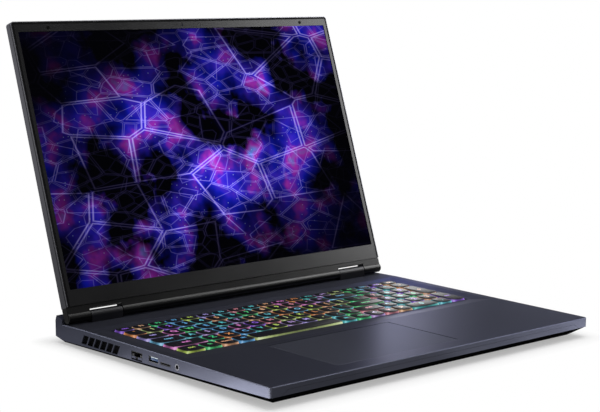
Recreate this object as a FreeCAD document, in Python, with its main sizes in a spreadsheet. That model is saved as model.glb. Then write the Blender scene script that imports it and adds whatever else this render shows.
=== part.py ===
import FreeCAD
import Part
import math
import os
import re
import Sketcher

# An 18-inch laptop computer, open at its desk angle, as an assembly of separate pieces.
# Base pieces are drawn with y from the front edge, lid pieces flat with y up from the hinge axis.
# Lengths are in millimetres.

DIMENSIONS = {
    # How far a cutting shape runs past the face it cuts
    "overrun": 1,
    # Base shell
    "base_width": 403,
    "deck_height": 19,
    "wall": 1.8,
    "origin_from_front": 187,
    "corner_radius": 3,
    "edge_chamfer": 0.6,
    "seam_front_height": 10.2,
    "seam_rear_height": 3.8,
    "seam_length": 281,
    "crease_from_front": 250,
    "deck_rear_height": 18.2,
    "tail_front": 282.2,
    "tail_front_height": 22.6,
    "tail_peak": 290.9,
    "tail_peak_height": 25.3,
    "rear_top": 292.5,
    "rear_top_height": 20.7,
    "rear_low": 292,
    "rear_low_height": 6.2,
    "palm_underside": 17.2,
    "well_underside": 15.6,
    "rear_underside": 16.4,
    "palm_step": 108,
    "well_step": 252,
    "step_run": 2,
    "lip_low_height": 9.5,
    "lip_height": 14.8,
    "lip_low_half": 190,
    "lip_top_half": 182,
    "lip_gap": 0.2,
    # Bottom cover and feet
    "cover_height": 2,
    "cover_floor": 1.6,
    "cover_front_half": 187,
    "cover_rear_half": 199,
    "cover_front_setback": 0.8,
    "cover_slope_end": 12.3,
    "cover_cavity_half": 186.4,
    "cover_cavity_front": 24,
    "cover_corner_trim": 1.8,
    "intake_inner": 104,
    "intake_length": 68,
    "intake_width": 3,
    "intake_pitch": 7.5,
    "intake_front": 166,
    "intake_count": 9,
    "foot_depth": 8,
    "front_foot_from_front": 27,
    "front_foot_inner": 60,
    "front_foot_outer": 165,
    "rear_foot_from_front": 262,
    "rear_foot_half": 165,
    # Case screws and their bosses
    "screw_column": 178,
    "screw_front": 40,
    "screw_middle": 111.5,
    "screw_rear": 262,
    "boss_radius": 3,
    "boss_top": 17.4,
    "screw_radius": 1.1,
    "screw_head_radius": 2.3,
    "screw_head_height": 1.2,
    "screw_head_recess": 0.2,
    "screw_length": 9,
    # Side vents and rear grilles
    "vent_rear": 252.2,
    "vent_low": 6.5,
    "vent_high": 14.8,
    "vent_slot": 7.6,
    "vent_slant": 4,
    "vent_pitch": 9.15,
    "vent_count": 6,
    "screen_margin": 2,
    "screen_overlap": 0.5,
    "screen_thickness": 0.5,
    "grille_inner": 78,
    "grille_outer": 188,
    "grille_low": 9,
    "grille_high": 19,
    "grille_front": 290.2,
    "grille_depth": 1.3,
    "grille_slot": 3.4,
    "grille_bar": 1.2,
    "grille_end": 0.7,
    "grille_count": 23,
    # Keyboard
    "key_unit": 18.8,
    "key_columns": 19,
    "keys_front": 130.6,
    "function_depth": 13.2,
    "key_gap": 2.6,
    "key_top_inset": 0.8,
    "key_low": 16.2,
    "key_high": 19.3,
    "well_depth": 1.5,
    "well_half": 193,
    "well_front": 112,
    "well_rear": 249.2,
    "well_floor_half": 181.5,
    "well_floor_front": 127.5,
    "well_floor_rear": 241,
    "opening_margin": 0.8,
    "plate_margin": 5,
    "plate_low": 13.4,
    "plate_floor": 0.8,
    "light_sheet": 0.3,
    # Touchpad
    "pad_left": -110.5,
    "pad_right": 37.5,
    "pad_front": 18,
    "pad_rear": 104,
    "pad_gap": 0.4,
    "pad_high": 18.85,
    "pad_low": 17.6,
    "tray_margin": 6,
    "tray_low": 15.2,
    "tray_floor": 0.8,
    "switch_radius": 3,
    "switch_height": 0.9,
    "switch_from_front": 16,
    # Hinges
    "hinge_from_front": 276.5,
    "hinge_height": 24.5,
    "lid_open_angle": 109.6,
    "block_inner": 140.4,
    "block_outer": 175.5,
    "block_radius": 4.6,
    "block_low": 15.2,
    "pin_radius": 2,
    "pin_play": 0.05,
    "pin_inner": 114,
    "pin_outer": 174.5,
    "bracket_low": 14,
    "bracket_inner": 132,
    "bracket_outer": 184,
    "bracket_front": 266,
    "bracket_rear": 283.5,
    # Lid
    "lid_width": 400.4,
    "lid_half_thickness": 4.8,
    "lid_top": 277.2,
    "lid_corner_radius": 3,
    "cover_edge_radius": 1.8,
    "cover_bottom": 9.4,
    "cover_rim": 2.4,
    "cover_back": 1.5,
    "cover_swell": 1.9,
    "cover_side": 2.6,
    "groove_high": 3.3,
    "groove_recess": 0.3,
    "groove_width": 3.3,
    "frame_shelf": 3.8,
    "frame_high": 4.6,
    "frame_lip": 0.7,
    "bezel_bottom": 10,
    "rim_gap": 0.15,
    "rim_width": 1.8,
    "screen_width": 387.7,
    "screen_height": 242.3,
    "screen_bottom": 24.9,
    "panel_border": 1.6,
    "panel_chin": 6.4,
    "panel_low": 0.8,
    "strip_top": 9.4,
    "neck_relief": 1.2,
    "seam_recess": 0.6,
    "notch_inner": 139.7,
    "notch_outer": 176.3,
    "notch_top": 6.6,
    "knuckle_radius": 3.5,
    "knuckle_room": 0.2,
    "knuckle_inner": 104,
    "knuckle_outer": 134,
    "leaf_back": -3.2,
    "leaf_front": -1.6,
    "leaf_top": 46,
    "camera_height": 270.9,
    "camera_radius": 1.2,
    "camera_board_half": 12,
    "camera_board_depth": 2,
    "camera_board_thickness": 1.6,
    "bumper_radius": 1.6,
    "bumper_height": 0.4,
    "bumper_column": 160,
    # Left sockets
    "panel_front": 111,
    "panel_rear": 183,
    "panel_high": 16.6,
    "net_front": 163.2,
    "net_rear": 178.6,
    "net_low": 8.9,
    "net_high": 14.5,
    "net_skin": 0.6,
    "net_depth": 15,
    "net_inset": 0.3,
    "net_bore": 12.5,
    "net_sides": 1.6,
    "jaw_low": 7.2,
    "jaw_thickness": 1.4,
    "jaw_axis_height": 7.7,
    "jaw_axis_inset": 0.9,
    "jaw_pin_radius": 0.5,
    "jaw_pin_length": 0.9,
    "jaw_gap": 0.3,
    "jaw_top_gap": 0.6,
    "jaw_sill_gap": 0.4,
    "usb_centre": 147.8,
    "usb_height": 12.2,
    "usb_width": 13.2,
    "usb_tall": 5.7,
    "usb_skin": 0.35,
    "usb_depth": 15,
    "usb_bore": 11,
    "socket_inset": 0.2,
    "tongue_root": 0.5,
    "tongue_width": 11.2,
    "tongue_tall": 1.8,
    "tongue_length": 9.5,
    "tongue_rise": 0.9,
    "right_usb_first": 131,
    "right_usb_pitch": 21,
    "card_centre": 131.4,
    "card_height": 11.3,
    "card_width": 13.6,
    "card_tall": 2.4,
    "card_slot_width": 11.6,
    "card_slot_tall": 1.2,
    "audio_from_front": 116.2,
    "audio_height": 12.1,
    "audio_radius": 3,
    "audio_bore": 1.8,
    "audio_length": 14,
    "port_board_low": 7.9,
    "port_board_thickness": 0.8,
    "port_board_outer": 187,
    "port_board_inner": 177.2,
    "port_board_setback": 7,
    # Rear sockets
    "rear_port_front": 278,
    "rear_port_back": 291.9,
    "rear_port_skin": 0.5,
    "rear_port_bore": 10,
    "rear_tongue_width": 0.65,
    "rear_tongue_tall": 0.22,
    "rear_tongue_setback": 1.5,
    "display_port_x": -38,
    "display_port_width": 15,
    "display_port_tall": 5.6,
    "small_port_x": 10,
    "small_port_width": 9,
    "small_port_tall": 3.3,
    "power_port_x": 40,
    "power_port_width": 11.5,
    "power_port_tall": 5.2,
    # Boards and cooling
    "board_half": 72,
    "board_front": 122,
    "board_rear": 286,
    "board_low": 8,
    "board_thickness": 1.2,
    "standoff_radius": 2.5,
    "standoff_column": 64,
    "standoff_front": 126,
    "standoff_rear": 270,
    "chip_x": 34,
    "chip_width": 42,
    "chip_front": 186,
    "chip_depth": 30,
    "chip_height": 2.2,
    "pipe_width": 7,
    "pipe_height": 1.5,
    "pipe_pitch": 9,
    "pipe_count": 3,
    "pipe_front": 190,
    "pipe_cross": 250,
    "pipe_cross_pitch": 8.1,
    "fin_inner": 80,
    "fin_outer": 171,
    "fin_front": 248,
    "fin_depth": 28,
    "fin_slot": 3.2,
    "fin_pitch": 4.2,
    "fin_count": 21,
    "fin_skin": 0.6,
    "fan_x": 138,
    "fan_from_front": 199,
    "fan_size": 76,
    "fan_low": 4,
    "fan_high": 12.8,
    "fan_wall": 1,
    "fan_intake": 27,
    "rotor_hub": 13,
    "rotor_tip": 34,
    "rotor_low": 5.4,
    "rotor_high": 11.2,
    "rotor_floor": 1,
    "rotor_end_play": 0.3,
    "blade_inset": 0.5,
    "axle_root": 0.5,
    "blade_thickness": 0.9,
    "axle_radius": 1.5,
    "axle_play": 0.05,
    # Battery, speakers and plug-in modules
    "battery_half": 112,
    "battery_front": 34,
    "battery_rear": 104,
    "battery_height": 9.5,
    "speaker_inner": 122,
    "speaker_outer": 172,
    "speaker_front": 44,
    "speaker_rear": 98,
    "speaker_height": 8.5,
    "memory_width": 66,
    "memory_inner": 2,
    "memory_front": 130,
    "memory_depth": 27,
    "memory_height": 3.2,
    "drive_left": -66,
    "drive_length": 80,
    "drive_depth": 22,
    "drive_front": 160,
    "drive_rear_front": 220,
    "drive_height": 2,
    "radio_left": 30,
    "radio_width": 22,
    "radio_depth": 22,
}

FAN_BLADES = 19

DOC = FreeCAD.newDocument("laptop")
SHEET = DOC.addObject("Spreadsheet::Sheet", "dims")
PARTS = []


def fill_sheet():
    for row, (alias, value) in enumerate(DIMENSIONS.items(), start=1):
        SHEET.set(f"A{row}", alias)
        SHEET.set(f"B{row}", str(value))
        SHEET.setAlias(f"B{row}", alias)
    DOC.recompute()


def sheet_formula(formula):
    def prefixed(match):
        word = match.group(0)
        return f"dims.{word}" if word in DIMENSIONS else word

    return re.sub(r"[a-z][a-z_]*", prefixed, str(formula))


def bind(feature, path, formula):
    feature.setExpression(path, sheet_formula(formula))


# Solids from primitives and booleans


def set_box(feature, x, y, z):
    for size, place, span in (("Length", "x", x), ("Width", "y", y), ("Height", "z", z)):
        start, end = span
        bind(feature, size, f"({end}) - ({start})")
        bind(feature, f"Placement.Base.{place}", start)
    return feature


def box(name, x, y, z):
    return set_box(DOC.addObject("Part::Box", name), x, y, z)


def set_cylinder(feature, axis, centre, length, radius):
    turns = {
        "x": FreeCAD.Rotation(FreeCAD.Vector(0, 1, 0), 90),
        "y": FreeCAD.Rotation(FreeCAD.Vector(1, 0, 0), -90),
        "z": FreeCAD.Rotation(),
    }
    feature.Placement = FreeCAD.Placement(FreeCAD.Vector(), turns[axis])
    for place, value in zip("xyz", centre):
        bind(feature, f"Placement.Base.{place}", value)
    bind(feature, "Height", length)
    bind(feature, "Radius", radius)
    return feature


def cylinder(name, axis, centre, length, radius):
    return set_cylinder(DOC.addObject("Part::Cylinder", name), axis, centre, length, radius)


def set_wedge(feature, z, low_x, low_y, high_x, high_y):
    # The wedge grows along its own Y axis, so it is stood up on its base.
    feature.Placement = FreeCAD.Placement(
        FreeCAD.Vector(), FreeCAD.Rotation(FreeCAD.Vector(1, 0, 0), 90)
    )
    bind(feature, "Ymin", z[0])
    bind(feature, "Ymax", z[1])
    for head, x, y in (("", low_x, low_y), ("2", high_x, high_y)):
        bind(feature, f"X{head}min", x[0])
        bind(feature, f"X{head}max", x[1])
        bind(feature, f"Z{head}min", f"-({y[1]})")
        bind(feature, f"Z{head}max", f"-({y[0]})")
    return feature


def cut(name, solid, tools):
    result = DOC.addObject("Part::Cut", name)
    result.Base = solid
    result.Tool = tools[0] if len(tools) == 1 else group(f"{name}_tools", tools)
    return result


def fuse(name, solids):
    result = DOC.addObject("Part::MultiFuse", name)
    result.Shapes = solids
    return result


def group(name, solids):
    result = DOC.addObject("Part::Compound", name)
    result.Links = solids
    return result


def mirrored(side, span):
    low, high = span
    return (low, high) if side > 0 else (f"-({high})", f"-({low})")


def centred(middle, size):
    return (f"{middle} - {size} / 2", f"{middle} + {size} / 2")


# Solids from sketched bodies


def new_body(name):
    return DOC.addObject("PartDesign::Body", f"{name}_body")


def polygon_sketch(body, name, role, points, offset="0"):
    plane = next(item for item in body.Origin.OriginFeatures if item.Role == role)
    sketch = body.newObject("Sketcher::SketchObject", name)
    sketch.AttachmentSupport = [(plane, "")]
    sketch.MapMode = "FlatFace"
    bind(sketch, "AttachmentOffset.Base.z", offset)
    count = len(points)
    # The drawn start positions lie on a circle; the bound lengths then place each corner.
    turns = [2 * math.pi * index / count for index in range(count)]
    corners = [FreeCAD.Vector(math.cos(turn), math.sin(turn), 0) for turn in turns]
    for index in range(count):
        line = Part.LineSegment(corners[index], corners[(index + 1) % count])
        sketch.addGeometry(line, False)
    for index in range(count):
        sketch.addConstraint(Sketcher.Constraint("Coincident", index, 2, (index + 1) % count, 1))
    for index, point in enumerate(points):
        for kind, formula in zip(("DistanceX", "DistanceY"), point):
            number = sketch.addConstraint(Sketcher.Constraint(kind, -1, 1, index, 1, 1.0))
            bind(sketch, f"Constraints[{number}]", formula)
    return sketch


def sketched(body, kind, name, sketch, length, symmetric=True):
    feature = body.newObject(f"PartDesign::{kind}", name)
    feature.Profile = sketch
    bind(feature, "Length", length)
    if symmetric:
        feature.SideType = "Symmetric"
    return feature


def carve_box(body, name, x, y, z):
    return set_box(body.newObject("PartDesign::SubtractiveBox", name), x, y, z)


def carve_cylinder(body, name, axis, centre, length, radius):
    feature = body.newObject("PartDesign::SubtractiveCylinder", name)
    return set_cylinder(feature, axis, centre, length, radius)


def add_cylinder(body, name, axis, centre, length, radius):
    feature = body.newObject("PartDesign::AdditiveCylinder", name)
    return set_cylinder(feature, axis, centre, length, radius)


def dress_edges(body, kind, name, size_path, size, wanted):
    DOC.recompute()
    base = body.Tip
    names = [f"Edge{i}" for i, edge in enumerate(base.Shape.Edges, 1) if wanted(edge)]
    feature = body.newObject(f"PartDesign::{kind}", name)
    feature.Base = (base, names)
    bind(feature, size_path, size)
    return feature


def repeat_along(body, name, feature, axis_role, length, count):
    pattern = body.newObject("PartDesign::LinearPattern", name)
    pattern.Originals = [feature]
    axis = next(item for item in body.Origin.OriginFeatures if item.Role == axis_role)
    pattern.Direction = (axis, [""])
    bind(pattern, "Length", length)
    bind(pattern, "Occurrences", count)
    body.Tip = pattern
    return pattern


def near(value, target):
    return abs(value - target) < 0.01


def upright(edge):
    first = edge.Vertexes[0]
    return all(near(v.X, first.X) and near(v.Y, first.Y) for v in edge.Vertexes)


# Placing finished sub-parts


def own_placement(node, solid):
    # A bare primitive already uses its placement for its own position, so it is wrapped.
    if solid.TypeId in ("Part::Box", "Part::Cylinder", "Part::Wedge"):
        return group(f"{node}_single", [solid])
    return solid


def base_part(node, solid):
    solid = own_placement(node, solid)
    solid.Label = node
    bind(solid, "Placement.Base.y", "-origin_from_front")
    PARTS.append(solid)


def lid_part(node, solid):
    solid = own_placement(node, solid)
    solid.Label = node
    solid.Placement = FreeCAD.Placement(
        FreeCAD.Vector(), FreeCAD.Rotation(FreeCAD.Vector(1, 0, 0), 90)
    )
    bind(solid, "Placement.Base.y", "hinge_from_front - origin_from_front")
    bind(solid, "Placement.Base.z", "hinge_height")
    bind(solid, "Placement.Rotation.Angle", "180 - lid_open_angle")
    PARTS.append(solid)


def seam_height(place):
    fall = "(seam_front_height - seam_rear_height) / seam_length"
    return f"seam_front_height - ({place}) * {fall}"


SCREW_PLACES = [
    (f"{sign}screw_column", row)
    for sign in ("", "-")
    for row in ("screw_front", "screw_middle", "screw_rear")
] + [("0", "screw_middle")]

SIDES = {"right": 1, "left": -1}
HALF_WIDTH = "base_width / 2"
BOARD_TOP = "board_low + board_thickness"
COVER_TOP = "cover_height + cover_floor"
USB_PLACES = ["right_usb_first", "right_usb_first + right_usb_pitch"]


def rear_sockets():
    # Each rear socket as its centre, width and height.
    return {
        "display": ("display_port_x", "display_port_width", "display_port_tall"),
        "small_left": ("-small_port_x", "small_port_width", "small_port_tall"),
        "small_right": ("small_port_x", "small_port_width", "small_port_tall"),
        "power": ("power_port_x", "power_port_width", "power_port_tall"),
    }


# Base shell


def make_top_case():
    body = new_body("top_case")
    outline = [
        ("0", "seam_front_height"),
        ("0", "deck_height"),
        ("crease_from_front", "deck_height"),
        ("tail_front", "deck_rear_height"),
        ("tail_front", "tail_front_height"),
        ("tail_peak", "tail_peak_height"),
        ("rear_top", "rear_top_height"),
        ("rear_low", "rear_low_height"),
        ("seam_length", "seam_rear_height"),
    ]
    sketched(body, "Pad", "case_block", polygon_sketch(body, "case_outline", "YZ_Plane", outline), "base_width")
    half = DIMENSIONS["base_width"] / 2
    top = DIMENSIONS["deck_height"]
    crease = DIMENSIONS["crease_from_front"]

    def front_corner(edge):
        return upright(edge) and all(near(abs(v.X), half) and near(v.Y, 0) for v in edge.Vertexes)

    def deck_rim(edge):
        flat = all(near(v.Z, top) and v.Y <= crease + 0.01 for v in edge.Vertexes)
        return flat and not all(near(v.Y, crease) for v in edge.Vertexes)

    dress_edges(body, "Fillet", "case_corners", "Radius", "corner_radius", front_corner)
    dress_edges(body, "Chamfer", "case_rim", "Size", "edge_chamfer", deck_rim)
    hollow = [
        ("wall", "-overrun"),
        ("wall", "palm_underside"),
        ("palm_step", "palm_underside"),
        ("palm_step + step_run", "well_underside"),
        ("well_step", "well_underside"),
        ("well_step + step_run", "rear_underside"),
        ("tail_front + wall", "rear_underside"),
        ("tail_front + wall", "tail_front_height - wall"),
        ("tail_peak - wall", "tail_peak_height - 1.4 * wall"),
        ("rear_top - wall", "rear_top_height"),
        ("rear_low - wall", "rear_low_height + 0.8 * wall"),
        ("seam_length - wall / 3", "seam_rear_height + 0.9 * wall"),
        ("seam_length - wall / 3", "-overrun"),
    ]
    inner = polygon_sketch(body, "case_hollow_outline", "YZ_Plane", hollow)
    sketched(body, "Pocket", "case_hollow", inner, "base_width - 2 * wall")
    set_wedge(
        body.newObject("PartDesign::SubtractiveWedge", "keyboard_well"),
        ("deck_height - well_depth", "deck_height"),
        ("-well_floor_half", "well_floor_half"),
        ("well_floor_front", "well_floor_rear"),
        ("-well_half", "well_half"),
        ("well_front", "well_rear"),
    )
    opening_height = ("well_underside - overrun", "deck_height")
    carve_box(body, "keyboard_opening", *key_field("opening_margin"), opening_height)
    carve_box(
        body,
        "touchpad_opening",
        ("pad_left - pad_gap", "pad_right + pad_gap"),
        ("pad_front - pad_gap", "pad_rear + pad_gap"),
        ("palm_underside - overrun", "deck_height + overrun"),
    )
    set_wedge(
        body.newObject("PartDesign::SubtractiveWedge", "lip_notch"),
        ("lip_low_height", "lip_height"),
        ("-lip_low_half", "lip_low_half"),
        ("-overrun", "wall"),
        ("-lip_top_half", "lip_top_half"),
        ("-overrun", "wall"),
    )
    for name, side in SIDES.items():
        carve_box(
            body,
            f"hinge_opening_{name}",
            mirrored(side, ("block_inner", "block_outer")),
            ("hinge_from_front - block_radius", "hinge_from_front + block_radius"),
            ("block_low", "deck_height"),
        )
        carve_box(
            body,
            f"grille_opening_{name}",
            mirrored(side, ("grille_inner", "grille_outer")),
            ("grille_front - overrun", "rear_top + overrun"),
            ("grille_low", "grille_high"),
        )
    carve_box(
        body,
        "port_panel_opening",
        (f"-{HALF_WIDTH} - overrun", f"-{HALF_WIDTH} + wall"),
        ("panel_front", "panel_rear"),
        ("0", "panel_high"),
    )
    for index, place in enumerate(USB_PLACES):
        carve_box(
            body,
            f"right_usb_opening_{index}",
            (f"{HALF_WIDTH} - wall - overrun", f"{HALF_WIDTH} + overrun"),
            centred(place, "usb_width"),
            centred("usb_height", "usb_tall"),
        )
    for name, (middle, width, tall) in rear_sockets().items():
        carve_box(
            body,
            f"{name}_opening",
            centred(middle, width),
            ("rear_top - rear_port_bore", "rear_top + overrun"),
            (BOARD_TOP, f"{BOARD_TOP} + {tall}"),
        )
    slot = [
        ("vent_rear", "vent_low"),
        ("vent_rear - vent_slot", "vent_low"),
        ("vent_rear - vent_slot - vent_slant", "vent_high"),
        ("vent_rear - vent_slant", "vent_high"),
    ]
    slot_sketch = polygon_sketch(body, "vent_outline", "YZ_Plane", slot)
    first = sketched(body, "Pocket", "vent_slot_cut", slot_sketch, "base_width + 2 * overrun")
    pattern = repeat_along(body, "vent_row", first, "Y_Axis", "vent_pitch * (vent_count - 1)", "vent_count")
    pattern.Reversed = True
    for index, (column, row) in enumerate(SCREW_PLACES):
        low = COVER_TOP
        add_cylinder(body, f"boss_{index}", "z", (column, row, low), f"boss_top - ({low})", "boss_radius")
        carve_cylinder(body, f"boss_bore_{index}", "z", (column, row, low), "screw_length", "screw_radius")
    base_part("top_case", body)


def make_front_lip():
    fall = "(lip_low_half - lip_top_half) / (lip_height - lip_low_height)"
    low_half = f"lip_low_half - (seam_front_height - lip_low_height) * {fall} - lip_gap"
    lip = set_wedge(
        DOC.addObject("Part::Wedge", "front_lip_wedge"),
        ("seam_front_height", "lip_height - lip_gap"),
        (f"-({low_half})", low_half),
        ("0", "wall"),
        ("-(lip_top_half - lip_gap)", "lip_top_half - lip_gap"),
        ("0", "wall"),
    )
    base_part("front_lip", lip)


def cover_section(body, name, place, top_half, low_half):
    corners = [
        (f"-({top_half})", seam_height(place)),
        (f"-({low_half})", "cover_height"),
        (low_half, "cover_height"),
        (top_half, seam_height(place)),
    ]
    return polygon_sketch(body, name, "XZ_Plane", corners, offset=f"-({place})")


def make_bottom_cover():
    body = new_body("bottom_cover")
    half = HALF_WIDTH
    loft = body.newObject("PartDesign::AdditiveLoft", "cover_block")
    front_halves = (f"{half} - cover_corner_trim", "cover_front_half - cover_corner_trim")
    loft.Profile = cover_section(body, "cover_front", "0", *front_halves)
    loft.Sections = [
        cover_section(body, "cover_shoulder", "corner_radius", half, "cover_front_half"),
        cover_section(body, "cover_rear", "seam_length", half, "cover_rear_half"),
    ]
    loft.Ruled = True
    slope = [
        ("-overrun", "seam_front_height + overrun"),
        ("cover_front_setback", "seam_front_height + overrun"),
        ("cover_front_setback", "seam_front_height"),
        ("cover_slope_end", "cover_height"),
        ("cover_slope_end", "cover_height - overrun"),
        ("-overrun", "cover_height - overrun"),
    ]
    slope_sketch = polygon_sketch(body, "cover_slope_outline", "YZ_Plane", slope)
    sketched(body, "Pocket", "cover_slope", slope_sketch, "base_width + 2 * overrun")
    carve_box(
        body,
        "cover_cavity",
        ("-cover_cavity_half", "cover_cavity_half"),
        ("cover_cavity_front", "seam_length - wall"),
        (COVER_TOP, "seam_front_height + overrun"),
    )
    for name, side in SIDES.items():
        slot = carve_box(
            body,
            f"intake_slot_{name}",
            mirrored(side, ("intake_inner", "intake_inner + intake_length")),
            ("intake_front", "intake_front + intake_width"),
            ("0", f"{COVER_TOP} + overrun"),
        )
        length = "intake_pitch * (intake_count - 1)"
        repeat_along(body, f"intake_row_{name}", slot, "Y_Axis", length, "intake_count")
        for row in ("front", "rear"):
            centre = (f"{side} * standoff_column", f"standoff_{row}", COVER_TOP)
            add_cylinder(
                body, f"standoff_{row}_{name}", "z", centre, f"board_low - ({COVER_TOP})", "standoff_radius"
            )
    for index, (column, row) in enumerate(SCREW_PLACES):
        head = (column, row, "cover_height - overrun")
        hole = (column, row, "cover_height")
        carve_cylinder(
            body, f"screw_head_seat_{index}", "z", head, "screw_head_height + overrun", "screw_head_radius"
        )
        carve_cylinder(body, f"screw_hole_{index}", "z", hole, "cover_floor + overrun", "screw_radius")
    base_part("bottom_cover", body)


def make_feet():
    depth = ("front_foot_from_front", "front_foot_from_front + foot_depth")
    span = ("front_foot_inner", "front_foot_outer")
    feet = [
        box(f"foot_front_{name}", mirrored(side, span), depth, ("0", "cover_height"))
        for name, side in SIDES.items()
    ]
    feet.append(
        box(
            "foot_rear",
            ("-rear_foot_half", "rear_foot_half"),
            ("rear_foot_from_front", "rear_foot_from_front + foot_depth"),
            ("0", "cover_height"),
        )
    )
    base_part("rubber_feet", group("feet_group", feet))


def make_case_screws():
    screws = []
    for index, (column, row) in enumerate(SCREW_PLACES):
        head = cylinder(
            f"screw_head_{index}",
            "z",
            (column, row, "cover_height + screw_head_recess"),
            "screw_head_height - screw_head_recess",
            "screw_head_radius",
        )
        shank_low = "cover_height + screw_head_height - screw_head_recess / 2"
        shank = cylinder(f"screw_shank_{index}", "z", (column, row, shank_low), "screw_length", "screw_radius")
        screws.append(fuse(f"screw_{index}", [head, shank]))
    base_part("case_screws", group("screw_group", screws))


def make_vent_screens():
    rear = "vent_rear + screen_margin"
    front = "vent_rear - vent_slot - vent_slant - vent_pitch * (vent_count - 1) - screen_margin"
    screens = [
        box(
            f"vent_screen_{name}",
            mirrored(side, (f"{HALF_WIDTH} - wall - screen_thickness", f"{HALF_WIDTH} - wall")),
            (front, rear),
            ("vent_low - screen_overlap", "vent_high + screen_overlap"),
        )
        for name, side in SIDES.items()
    ]
    base_part("vent_screens", group("vent_screen_group", screens))


def make_rear_grilles():
    grilles = []
    depth = ("grille_front", "grille_front + grille_depth")
    pitch = "(grille_slot + grille_bar)"
    for name, side in SIDES.items():
        plate = box(
            f"grille_plate_{name}",
            mirrored(side, ("grille_inner", "grille_outer")),
            depth,
            ("grille_low", "grille_high"),
        )
        slots = []
        for index in range(DIMENSIONS["grille_count"]):
            start = f"grille_inner + grille_end + {index} * {pitch}"
            slots.append(
                box(
                    f"grille_slot_{name}_{index}",
                    mirrored(side, (start, f"{start} + grille_slot")),
                    ("grille_front - overrun", "grille_front + grille_depth + overrun"),
                    ("grille_low + grille_bar", "grille_high - grille_bar"),
                )
            )
        grilles.append(cut(f"grille_{name}", plate, slots))
    base_part("rear_grilles", group("grille_group", grilles))


# Sockets


def make_left_io_panel():
    body = new_body("left_io_panel")
    outline = [
        ("panel_front", seam_height("panel_front")),
        ("panel_rear", seam_height("panel_rear")),
        ("panel_rear", "panel_high"),
        ("panel_front", "panel_high"),
    ]
    sketch = polygon_sketch(body, "panel_outline", "YZ_Plane", outline, offset=f"-{HALF_WIDTH}")
    sketched(body, "Pad", "panel_block", sketch, "wall", symmetric=False)
    through = (f"-{HALF_WIDTH} - overrun", f"-{HALF_WIDTH} + wall + overrun")
    net_sides = ("net_front", "net_rear")
    carve_box(body, "net_opening", through, net_sides, ("jaw_low - jaw_sill_gap", "net_high"))
    carve_box(
        body, "usb_opening", through, centred("usb_centre", "usb_width"), centred("usb_height", "usb_tall")
    )
    carve_box(
        body, "card_opening", through, centred("card_centre", "card_width"), centred("card_height", "card_tall")
    )
    carve_cylinder(
        body,
        "audio_opening",
        "x",
        (f"-{HALF_WIDTH} - overrun", "audio_from_front", "audio_height"),
        "wall + 2 * overrun",
        "audio_radius",
    )
    pin_start = "net_front - jaw_pin_length - jaw_gap"
    carve_cylinder(
        body,
        "jaw_pin_bore",
        "y",
        (f"-{HALF_WIDTH} + jaw_axis_inset", pin_start, "jaw_axis_height"),
        f"net_rear + jaw_pin_length + jaw_gap - ({pin_start})",
        "jaw_pin_radius + pin_play",
    )
    base_part("left_io_panel", body)


def make_ethernet_jack():
    outer = f"-{HALF_WIDTH} + net_inset"
    housing = box(
        "net_housing", (outer, f"{outer} + net_depth"), ("net_front", "net_rear"), ("net_low", "net_high")
    )
    bore = box(
        "net_bore_box",
        (f"{outer} - overrun", f"{outer} + net_bore"),
        ("net_front + net_sides", "net_rear - net_sides"),
        ("net_low + net_skin", "net_high - net_skin"),
    )
    base_part("ethernet_jack", cut("net_jack", housing, [bore]))


def make_ethernet_jaw():
    outer = f"-{HALF_WIDTH}"
    plate = box(
        "jaw_plate",
        (outer, f"{outer} + jaw_thickness"),
        ("net_front + jaw_gap", "net_rear - jaw_gap"),
        ("jaw_low", "net_low - jaw_top_gap"),
    )
    pin_start = "net_front - jaw_pin_length"
    pin = cylinder(
        "jaw_pin",
        "y",
        (f"{outer} + jaw_axis_inset", pin_start, "jaw_axis_height"),
        f"net_rear + jaw_pin_length - ({pin_start})",
        "jaw_pin_radius",
    )
    base_part("ethernet_jaw", fuse("jaw", [plate, pin]))


def usb_socket(name, side, middle):
    def across(near_face, deep):
        return mirrored(side, (f"{HALF_WIDTH} - {deep}", f"{HALF_WIDTH} - {near_face}"))

    housing = box(
        f"{name}_housing",
        across("socket_inset", "usb_depth"),
        centred(middle, "usb_width"),
        centred("usb_height", "usb_tall"),
    )
    bore = box(
        f"{name}_bore",
        across("-overrun", "usb_bore"),
        centred(middle, "(usb_width - 2 * usb_skin)"),
        centred("usb_height", "(usb_tall - 2 * usb_skin)"),
    )
    tongue = box(
        f"{name}_tongue",
        across("(usb_bore - tongue_length)", "(usb_bore + tongue_root)"),
        centred(middle, "tongue_width"),
        centred("usb_height + tongue_rise", "tongue_tall"),
    )
    return fuse(f"{name}_socket", [cut(f"{name}_shell", housing, [bore]), tongue])


def make_usb_sockets():
    base_part("usb_port_left", usb_socket("left_usb", -1, "usb_centre"))
    pair = [usb_socket(f"right_usb_{index}", 1, place) for index, place in enumerate(USB_PLACES)]
    base_part("usb_ports_right", group("right_usb_group", pair))


def make_card_reader():
    outer = f"-{HALF_WIDTH} + socket_inset"
    housing = box(
        "card_housing",
        (outer, f"{outer} + usb_depth"),
        centred("card_centre", "card_width"),
        centred("card_height", "card_tall"),
    )
    slot = box(
        "card_slot",
        (f"{outer} - overrun", f"{outer} + usb_bore"),
        centred("card_centre", "card_slot_width"),
        centred("card_height", "card_slot_tall"),
    )
    base_part("card_reader", cut("card_socket", housing, [slot]))


def make_audio_jack():
    centre = (f"-{HALF_WIDTH}", "audio_from_front", "audio_height")
    barrel = cylinder("audio_barrel", "x", centre, "audio_length", "audio_radius")
    bore = cylinder("audio_hole", "x", centre, "audio_length", "audio_bore")
    base_part("audio_jack", cut("audio_socket", barrel, [bore]))


def make_port_boards():
    boards = [
        box(
            f"port_board_{name}",
            mirrored(side, ("port_board_inner", "port_board_outer")),
            ("panel_front + port_board_setback", "panel_rear"),
            ("port_board_low", "port_board_low + port_board_thickness"),
        )
        for name, side in SIDES.items()
    ]
    base_part("port_boards", group("port_board_group", boards))


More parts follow.
